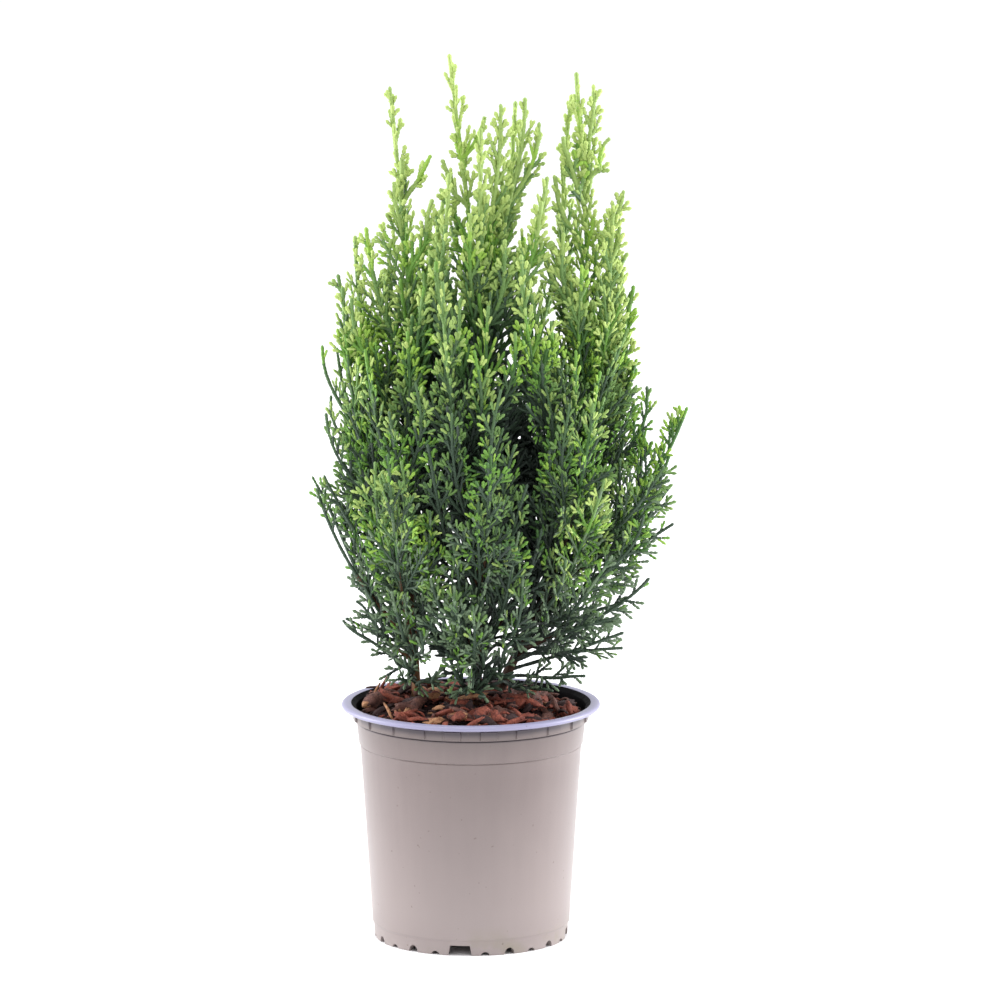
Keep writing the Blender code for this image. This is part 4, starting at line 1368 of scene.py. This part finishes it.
# %% [markdown]
# The picture says nothing of the far side, so there each limb gets a few long twigs of its own,
# by the golden angle and where there is room. They make the crown one body, with many slender
# points.

# %% Twigs
TWIG_STEP, TWIG_PROBE = 0.024, 0.004
LONGEST_TWIG, SHORTEST_TWIG = 0.072, 0.022
TWIG_TOP, TWIG_FEET_BELOW, LEAST_LEFT = 0.385, 0.31, 0.045
FAR_SIDE = -0.004


def twigs_of(owner, axis):
    """Long twigs round one limb, by the golden angle, where they end on the far side."""
    found, turn = [], rng.uniform(0, 2 * math.pi)
    place = 0.0
    for root, along, across, left in steps_along(axis, 0.22, TWIG_PROBE):
        place += TWIG_PROBE
        if place < TWIG_STEP or left < LEAST_LEFT or root[2] > TWIG_FEET_BELOW:
            continue
        place = 0.0
        turn += GOLDEN_TURN + rng.normal(0, 0.3)
        lift = 0.30 if axis.tier != "skirt" else 0.05
        for attempt in range(5):
            outward = turned_about(across, along, turn + attempt * 1.3)
            more = 14 if axis.tier == "stem" and root[2] < 0.3 else 0
            tilt = math.radians(rng.uniform(24, 40) + more)
            heading = unit(along * math.cos(tilt) + outward * math.sin(tilt) + UP * 0.15)
            length = min(LONGEST_TWIG, 0.72 * left) * rng.uniform(0.7, 1.1)
            length = min(length, (TWIG_TOP - root[2]) / max(heading[2] + 0.3, 0.3))
            fitted = fitted_length(root, heading, length, lift, owner, axis.path, SHORTEST_TWIG)
            if fitted and root[1] + heading[1] * fitted > FAR_SIDE:
                t = np.linspace(0, 1, PATH_STEPS + 1)[:, None]
                bend = (UP - heading * heading[2]) * fitted * lift
                found.append(Axis("twig", root + heading * fitted * t + bend * t * t))
                break
    return found


def leader_path(foot, tip, kind):
    """Out from the stem at first and then up, more level for a fan."""
    out, up = (0.62, 0.46) if kind == "fan" else (0.74, 0.40)
    out, up = out + rng.uniform(-0.1, 0.1), up + rng.uniform(-0.08, 0.08)
    corner = foot + (tip - foot) * (out, out, up)
    t = np.linspace(0, 1, PATH_STEPS + 1)[:, None]
    sway = rng.normal(0, 0.0014, 3) * np.sin(2 * np.pi * t)
    sway = sway + rng.normal(0, 0.0008, 3) * np.sin(3 * np.pi * t)
    return foot * (1 - t) ** 2 + corner * 2 * t * (1 - t) + tip * t**2 + sway


growing = [(axis, index) for index, axis in enumerate(axes)]
stem_names = [stem.name for stem in STEMS]
for (kind, stem), rows in LEADERS.items():
    for foot_height, *tip in rows:
        foot = at_height(stem_paths[stem], foot_height * MM)
        path = leader_path(foot, np.array(tip) * MM, kind)
        growing.append((Axis(kind, path), stem_names.index(stem)))
for index, axis in enumerate(axes):
    growing += [(twig, index) for twig in twigs_of(index, axis)]
print("limbs and twigs:", len(growing))

# %% [markdown]
# Now every limb and twig is clothed with sprays from its foot to its tip. Each spray tries a few
# directions until one has room. Sprays near the foot of a limb are darker than those at its tip.

# %% Clothe every limb and twig
SPRAY_TOPS = (0.30, 0.35, 0.40)
SPRAY_TOP_LENGTHS = (0.05, 0.018, 0.014)
STEM_FOOT_HEIGHTS = (0.12, 0.16, 0.22)
STEM_FOOT_SHARES = (0.45, 0.6, 1.0)
STEM_TILT_HEIGHTS = (0.20, 0.34, 0.37)
STEM_TILTS = (46, 42, 25)


def clothe(axis, owner, sunny):
    """Sprays along one limb: round a thick one by the golden angle, and in one plane on a twig."""
    habit = HABITS[axis.tier]
    luck = sunny + habit.luck
    tip = axis.path[-1]
    face = unit(LIGHT + 0.55 * np.array([tip[0], tip[1], 0.0]) / np.hypot(tip[0], tip[1]))
    face = turned_about(face, UP, rng.normal(0, 0.35))
    total = np.linalg.norm(np.diff(axis.path, axis=0), axis=1).sum()
    own_gain = rng.normal(0, 0.25) if habit.flat else -0.5 * (1 - youth(tip[2]))
    turn, made, side = rng.uniform(0, 2 * math.pi), 0, 1
    for root, along, across, left in steps_along(axis, habit.start, habit.step):
        longest = min(habit.longest, float(np.interp(root[2], SPRAY_TOPS, SPRAY_TOP_LENGTHS)))
        length = min(longest, 0.0036 + habit.spread * left) * rng.uniform(0.7, 1.2)
        tilt_here = habit.tilt
        if axis.tier == "stem":
            length *= float(np.interp(root[2], STEM_FOOT_HEIGHTS, STEM_FOOT_SHARES))
            tilt_here = float(np.interp(root[2], STEM_TILT_HEIGHTS, STEM_TILTS))
        turn += GOLDEN_TURN + rng.normal(0, 0.25)
        side = -side
        for attempt in range(4):
            if habit.flat:
                flank = np.cross(along, squared_to(face, along)) * side * (-1) ** attempt
                outward = turned_about(flank, along, rng.normal(0, 0.35))
            else:
                outward = turned_about(across, along, turn + attempt * 1.3)
            tilt = math.radians(tilt_here * rng.uniform(0.75, 1.25))
            heading = unit(along * math.cos(tilt) + outward * math.sin(tilt) + UP * habit.rise)
            slack = SLACKS.get(axis.tier, 0.0) + TIP_SLACK * max(0.0, 1 - left / TIP_REACH)
            fitted = fitted_length(root, heading, length, habit.lift, owner, axis.path, slack=slack)
            if fitted:
                loose = 0.3 if habit.flat else 0.7
                place_gain = own_gain + 1.1 * (0.45 - left / total)
                gain = luck + place_gain + rng.normal(0, 0.35)
                spray(root, heading, fitted, habit.lift, gain, face, loose)
                made += 1
                break
    scales_on(axis, habit.young, luck)
    return made


sprays, numbers = 0, {}
for axis, owner in growing:
    numbers[axis.tier] = numbers.get(axis.tier, 0) + 1
    sprays += clothe(axis, owner, SUNNY.get((axis.tier, numbers[axis.tier]), 0.0))
print("foliage:", sprays, "sprays,", sum(map(len, wardrobe.values())), "shoots")

# %% [markdown]
# Now all the shoots become meshes, each green apart. A piece stays under 200,000 triangles, so a
# green with more is split.

# %% Foliage pieces
MOST_TRIANGLES = 190_000
SHOOTS_AT_ONCE = 1000


def triangles_of(chunk):
    """How many triangles a chunk makes: a quad is two."""
    return len(chunk[1]) * 2 + len(chunk[2])


foliage_triangles = 0
for green in GREEN_NAMES:
    piles = [[]]
    for (name, kind, pairs), shoots in sorted(wardrobe.items(), key=lambda item: item[0]):
        for start in range(0, len(shoots) if name == green else 0, SHOOTS_AT_ONCE):
            batch = shoots[start : start + SHOOTS_AT_ONCE]
            columns = [np.array(column) for column in zip(*batch)]
            chunk = shoots_mesh(kind, pairs, *columns)
            if sum(map(triangles_of, piles[-1])) + triangles_of(chunk) > MOST_TRIANGLES:
                piles.append([])
            piles[-1].append(chunk)
    for number, pile in enumerate(piles, 1):
        if not pile:
            continue
        piece = mesh_piece(f"foliage_{green}_{number}", pile, GREEN_FINISHES[green])
        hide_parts(*FOLIAGE_NODES)
        foliage_triangles += sum(map(triangles_of, pile))
        print(piece.name, sum(map(triangles_of, pile)), "triangles")
print("foliage triangles:", foliage_triangles)

# %% [markdown]
# ## Mulch
# Bark mulch is a loose heap of flat, split chips. A lumpy dark bed closes the view between them.
# The bed is a disc, subdivided and pushed up into the shape of the heap. A chip is a bundle of
# fibres with ragged ends. Eight shapes come from one function, as arrays, and each is copied many
# times with its own turn and tilt.

# %% Mulch finishes


def bark_chip(name, dark, light):
    finish = Finish(name, light, 0.8, specular=0.3)
    fibres = finish.noise(1500.0, 4.0, (1.0, 0.25, 1.0))
    patches = finish.noise(260.0, 4.0)
    tone = (fibres * 0.5 + patches * 0.5).between(0.36, 0.64)
    finish.put({"Base Color": finish.mix(tone, dark, light)})
    finish.bump(fibres, 0.7, 0.0007)
    return finish.material


CHIP_FINISHES = {
    "red": bark_chip("chip_red", seen(74, 34, 33), seen(154, 84, 66)),
    "brown": bark_chip("chip_brown", seen(54, 34, 35), seen(118, 80, 70)),
    "dark": bark_chip("chip_dark", seen(30, 21, 24), seen(70, 48, 48)),
    "tan": bark_chip("chip_tan", seen(124, 80, 58), seen(190, 144, 108)),
}
print("chips:", ", ".join(CHIP_FINISHES))

# %% The mulch bed
BED_RADIUS, BED_DEPTH = 0.0560, 0.003
MULCH_RADIUS, MULCH_EDGE = 0.0574, 0.1135


def mulch_height(x, y):
    """The same heap as the solid's: low at the wall, high round the stems and to the left."""
    radius = np.minimum(np.hypot(x, y) / MULCH_RADIUS, 1.0)
    left_heap = 0.0045 * np.exp(-(((x + 0.042) / 0.018) ** 2) - ((y - 0.012) / 0.026) ** 2)
    return MULCH_EDGE + (GROUND - MULCH_EDGE) * (1 - radius**2.2) + left_heap


fresh()
bpy.ops.mesh.primitive_circle_add(vertices=96, radius=BED_RADIUS, fill_type="TRIFAN")
bed = named("mulch_bed")
bpy.ops.object.mode_set(mode="EDIT")
bpy.ops.mesh.select_all(action="SELECT")
for _ in range(3):
    bpy.ops.mesh.subdivide(number_cuts=1)
bpy.ops.object.mode_set(mode="OBJECT")
bed_points = np.empty(len(bed.data.vertices) * 3)
bed.data.vertices.foreach_get("co", bed_points)
bed_points = bed_points.reshape(-1, 3)
lumps = 0.0012 * np.sin(bed_points[:, 0] * 900) * np.sin(bed_points[:, 1] * 830 + 1.3)
bed_points[:, 2] = mulch_height(bed_points[:, 0], bed_points[:, 1]) - 0.0035 + lumps
bed.data.vertices.foreach_set("co", bed_points.ravel())
bed.data.update()
only(bed)
bpy.ops.object.mode_set(mode="EDIT")
bpy.ops.mesh.select_all(action="SELECT")
bpy.ops.mesh.region_to_loop()
bpy.ops.mesh.extrude_region_move(TRANSFORM_OT_translate={"value": (0.0, 0.0, -BED_DEPTH)})
bpy.ops.mesh.edge_face_add()
bpy.ops.mesh.select_all(action="SELECT")
bpy.ops.mesh.normals_make_consistent(inside=False)
bpy.ops.object.mode_set(mode="OBJECT")
bed.data.materials.append(CHIP_FINISHES["dark"])
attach(bed, "root")
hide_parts("bark_mulch")
print("mulch bed:", len(bed.data.polygons), "faces")

# %% Chip shapes
CHIP_SIDES, CHIP_RINGS = 10, 5


def chip_shape(number, length, width, thick):
    """A split flake: a bundle of fibres with ridges along it and torn ends."""
    shape = np.random.default_rng(number + 40)
    angles = np.linspace(0, 2 * np.pi, CHIP_SIDES, endpoint=False) + shape.normal(0, 0.12, CHIP_SIDES)
    ridges = shape.uniform(0.72, 1.28, CHIP_SIDES)
    starts, ends = shape.uniform(-0.5, -0.34, CHIP_SIDES), shape.uniform(0.3, 0.5, CHIP_SIDES)
    bow = shape.normal(0, 0.08)
    rings = []
    for ring in range(CHIP_RINGS):
        t = ring / (CHIP_RINGS - 1)
        size = ridges * shape.uniform(0.86, 1.14, CHIP_SIDES)
        size *= 0.62 + 1.2 * t * (1 - t) + 0.12 * shape.normal()
        x = length * (starts + (ends - starts) * t)
        y = 0.5 * width * np.cos(angles) * size + width * shape.normal(0, 0.05)
        z = 0.5 * thick * np.sin(angles) * size + length * bow * (1 - (2 * t - 1) ** 2)
        rings.append(np.stack([x, y, z], axis=1))
    points = np.concatenate(rings + [rings[0].mean(0)[None], rings[-1].mean(0)[None]])
    steps = np.arange(CHIP_SIDES)
    after = (steps + 1) % CHIP_SIDES
    rows = np.arange(CHIP_RINGS - 1)[:, None] * CHIP_SIDES
    corners = [rows + steps, rows + CHIP_SIDES + steps, rows + CHIP_SIDES + after, rows + after]
    quads = np.stack(corners, axis=-1)
    foot, top = CHIP_RINGS * CHIP_SIDES, (CHIP_RINGS - 1) * CHIP_SIDES
    caps = [(foot, a, b) for a, b in zip(steps, after)]
    caps += [(foot + 1, top + b, top + a) for a, b in zip(steps, after)]
    return points, quads.reshape(-1, 4), np.array(caps)


CHIP_SIZES = (
    (0.0150, 0.0056, 0.0026),
    (0.0105, 0.0062, 0.0034),
    (0.0190, 0.0036, 0.0022),
    (0.0085, 0.0050, 0.0032),
    (0.0130, 0.0082, 0.0028),
    (0.0070, 0.0020, 0.0014),
    (0.0120, 0.0040, 0.0030),
    (0.0160, 0.0028, 0.0018),
)
CHIP_SHAPES = [chip_shape(number, *size) for number, size in enumerate(CHIP_SIZES)]
CRUMB_SHAPE = 5
print("chip shapes:", len(CHIP_SHAPES))

# %% [markdown]
# Chips lie nearly flat, in layers, and turn any way. A few that stand out in the picture are
# placed one by one: an upright splinter at the left, a pale straw, and large chips at the front.

# %% Chips laid in the pot
CHIP_COUNT, CRUMB_COUNT = 290, 420
CHIP_ROOM = 0.0562
chip_rng = np.random.default_rng(5)
chip_chunks = {name: [] for name in CHIP_FINISHES}


def lay_chip(kind, shape, place, turn, tilt, roll, size=(1.0, 1.0, 1.0)):
    """Adds one copy of a chip shape, moved in from the pot's wall or else left out."""
    points, quads, caps = CHIP_SHAPES[shape]
    spin = Matrix.Rotation(turn, 3, "Z") @ Matrix.Rotation(tilt, 3, "Y") @ Matrix.Rotation(roll, 3, "X")
    moved = (points * size) @ np.array(spin).T
    reach = np.hypot(moved[:, 0] + place[0], moved[:, 1] + place[1]).max()
    if reach > CHIP_ROOM:
        inward = CHIP_ROOM / reach * 0.98
        place = (place[0] * inward, place[1] * inward, place[2])
        if np.hypot(moved[:, 0] + place[0], moved[:, 1] + place[1]).max() > CHIP_ROOM + 0.0006:
            return
    chip_chunks[kind].append((moved + place, quads, caps))


for index in range(CHIP_COUNT + CRUMB_COUNT):
    radius = CHIP_ROOM * math.sqrt(chip_rng.uniform(0, 1))
    angle = chip_rng.uniform(0, 2 * math.pi)
    x, y = radius * math.cos(angle), radius * math.sin(angle)
    layer = chip_rng.uniform(-0.0028, 0.0016)
    kind = chip_rng.choice(["red", "brown", "dark", "tan"], p=[0.42, 0.28, 0.24, 0.06])
    crumb = index >= CHIP_COUNT
    shape = CRUMB_SHAPE if crumb else int(chip_rng.integers(0, len(CHIP_SHAPES)))
    size = np.ones(3) * chip_rng.uniform(*((0.35, 0.9) if crumb else (0.85, 1.35)))
    place = (x, y, float(mulch_height(x, y)) + layer)
    turns = chip_rng.uniform(0, 6.28), chip_rng.normal(0, 0.26), chip_rng.normal(0, 0.5)
    lay_chip(kind, shape, place, *turns, size)

lay_chip("red", 2, (-0.0445, 0.004, 0.1260), 0.3, -1.05, 0.3, (0.9, 0.45, 0.6))
lay_chip("tan", 7, (-0.0475, 0.003, 0.1240), 0.5, -1.15, 0.2, (0.7, 0.5, 0.6))
lay_chip("brown", 4, (-0.0490, -0.008, 0.1215), 0.5, -0.25, 0.2, (1.0, 1.1, 2.2))
lay_chip("tan", 3, (-0.0515, -0.011, 0.1210), 0.2, -0.20, 0.4, (0.8, 0.8, 1.2))
lay_chip("tan", 7, (-0.0412, -0.027, 0.1200), -1.15, 0.50, 0.2, (0.95, 0.6, 0.7))
lay_chip("tan", 3, (-0.0335, -0.021, 0.1205), 0.4, 0.10, 0.3, (0.8, 0.9, 1.3))
lay_chip("brown", 4, (-0.0270, -0.016, 0.1215), 0.9, -0.40, 0.2, (1.3, 0.9, 1.4))
lay_chip("tan", 2, (0.0000, -0.013, 0.1240), 0.45, -0.12, 0.3, (1.15, 0.9, 1.2))
lay_chip("red", 4, (0.0055, -0.037, 0.1205), 0.9, -0.60, 0.2, (0.9, 0.9, 1.4))
lay_chip("red", 1, (0.0150, -0.039, 0.1200), -0.8, 0.40, -0.3, (1.1, 1.2, 1.4))
lay_chip("red", 2, (0.0258, -0.015, 0.1230), -0.55, 0.18, 0.2, (1.3, 1.3, 1.2))
lay_chip("brown", 7, (0.0414, -0.008, 0.1205), -1.2, 0.35, 0.2, (1.1, 1.1, 1.2))
lay_chip("red", 7, (0.0490, -0.012, 0.1190), -1.3, 0.40, 0.2, (0.8, 1.1, 1.2))
lay_chip("dark", 7, (-0.0500, 0.014, 0.1235), 2.9, -0.10, 0.2, (0.7, 0.4, 0.6))
for kind, chunks in chip_chunks.items():
    piece = mesh_piece("chips_" + kind, chunks, CHIP_FINISHES[kind])
    print("chips", kind, len(chunks))

# %% [markdown]
# ## The sizes
# Both boxes, the solids' and the dressed model's, are printed side by side. The dressed model
# may pass the solids' box only by a little.

# %% Sizes
visual_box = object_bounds()
boxes = {
    "cad": [list(map(float, corner)) for corner in cad_box],
    "visual": [list(map(float, corner)) for corner in visual_box],
}
print("cad box", boxes["cad"], "visual box", boxes["visual"])
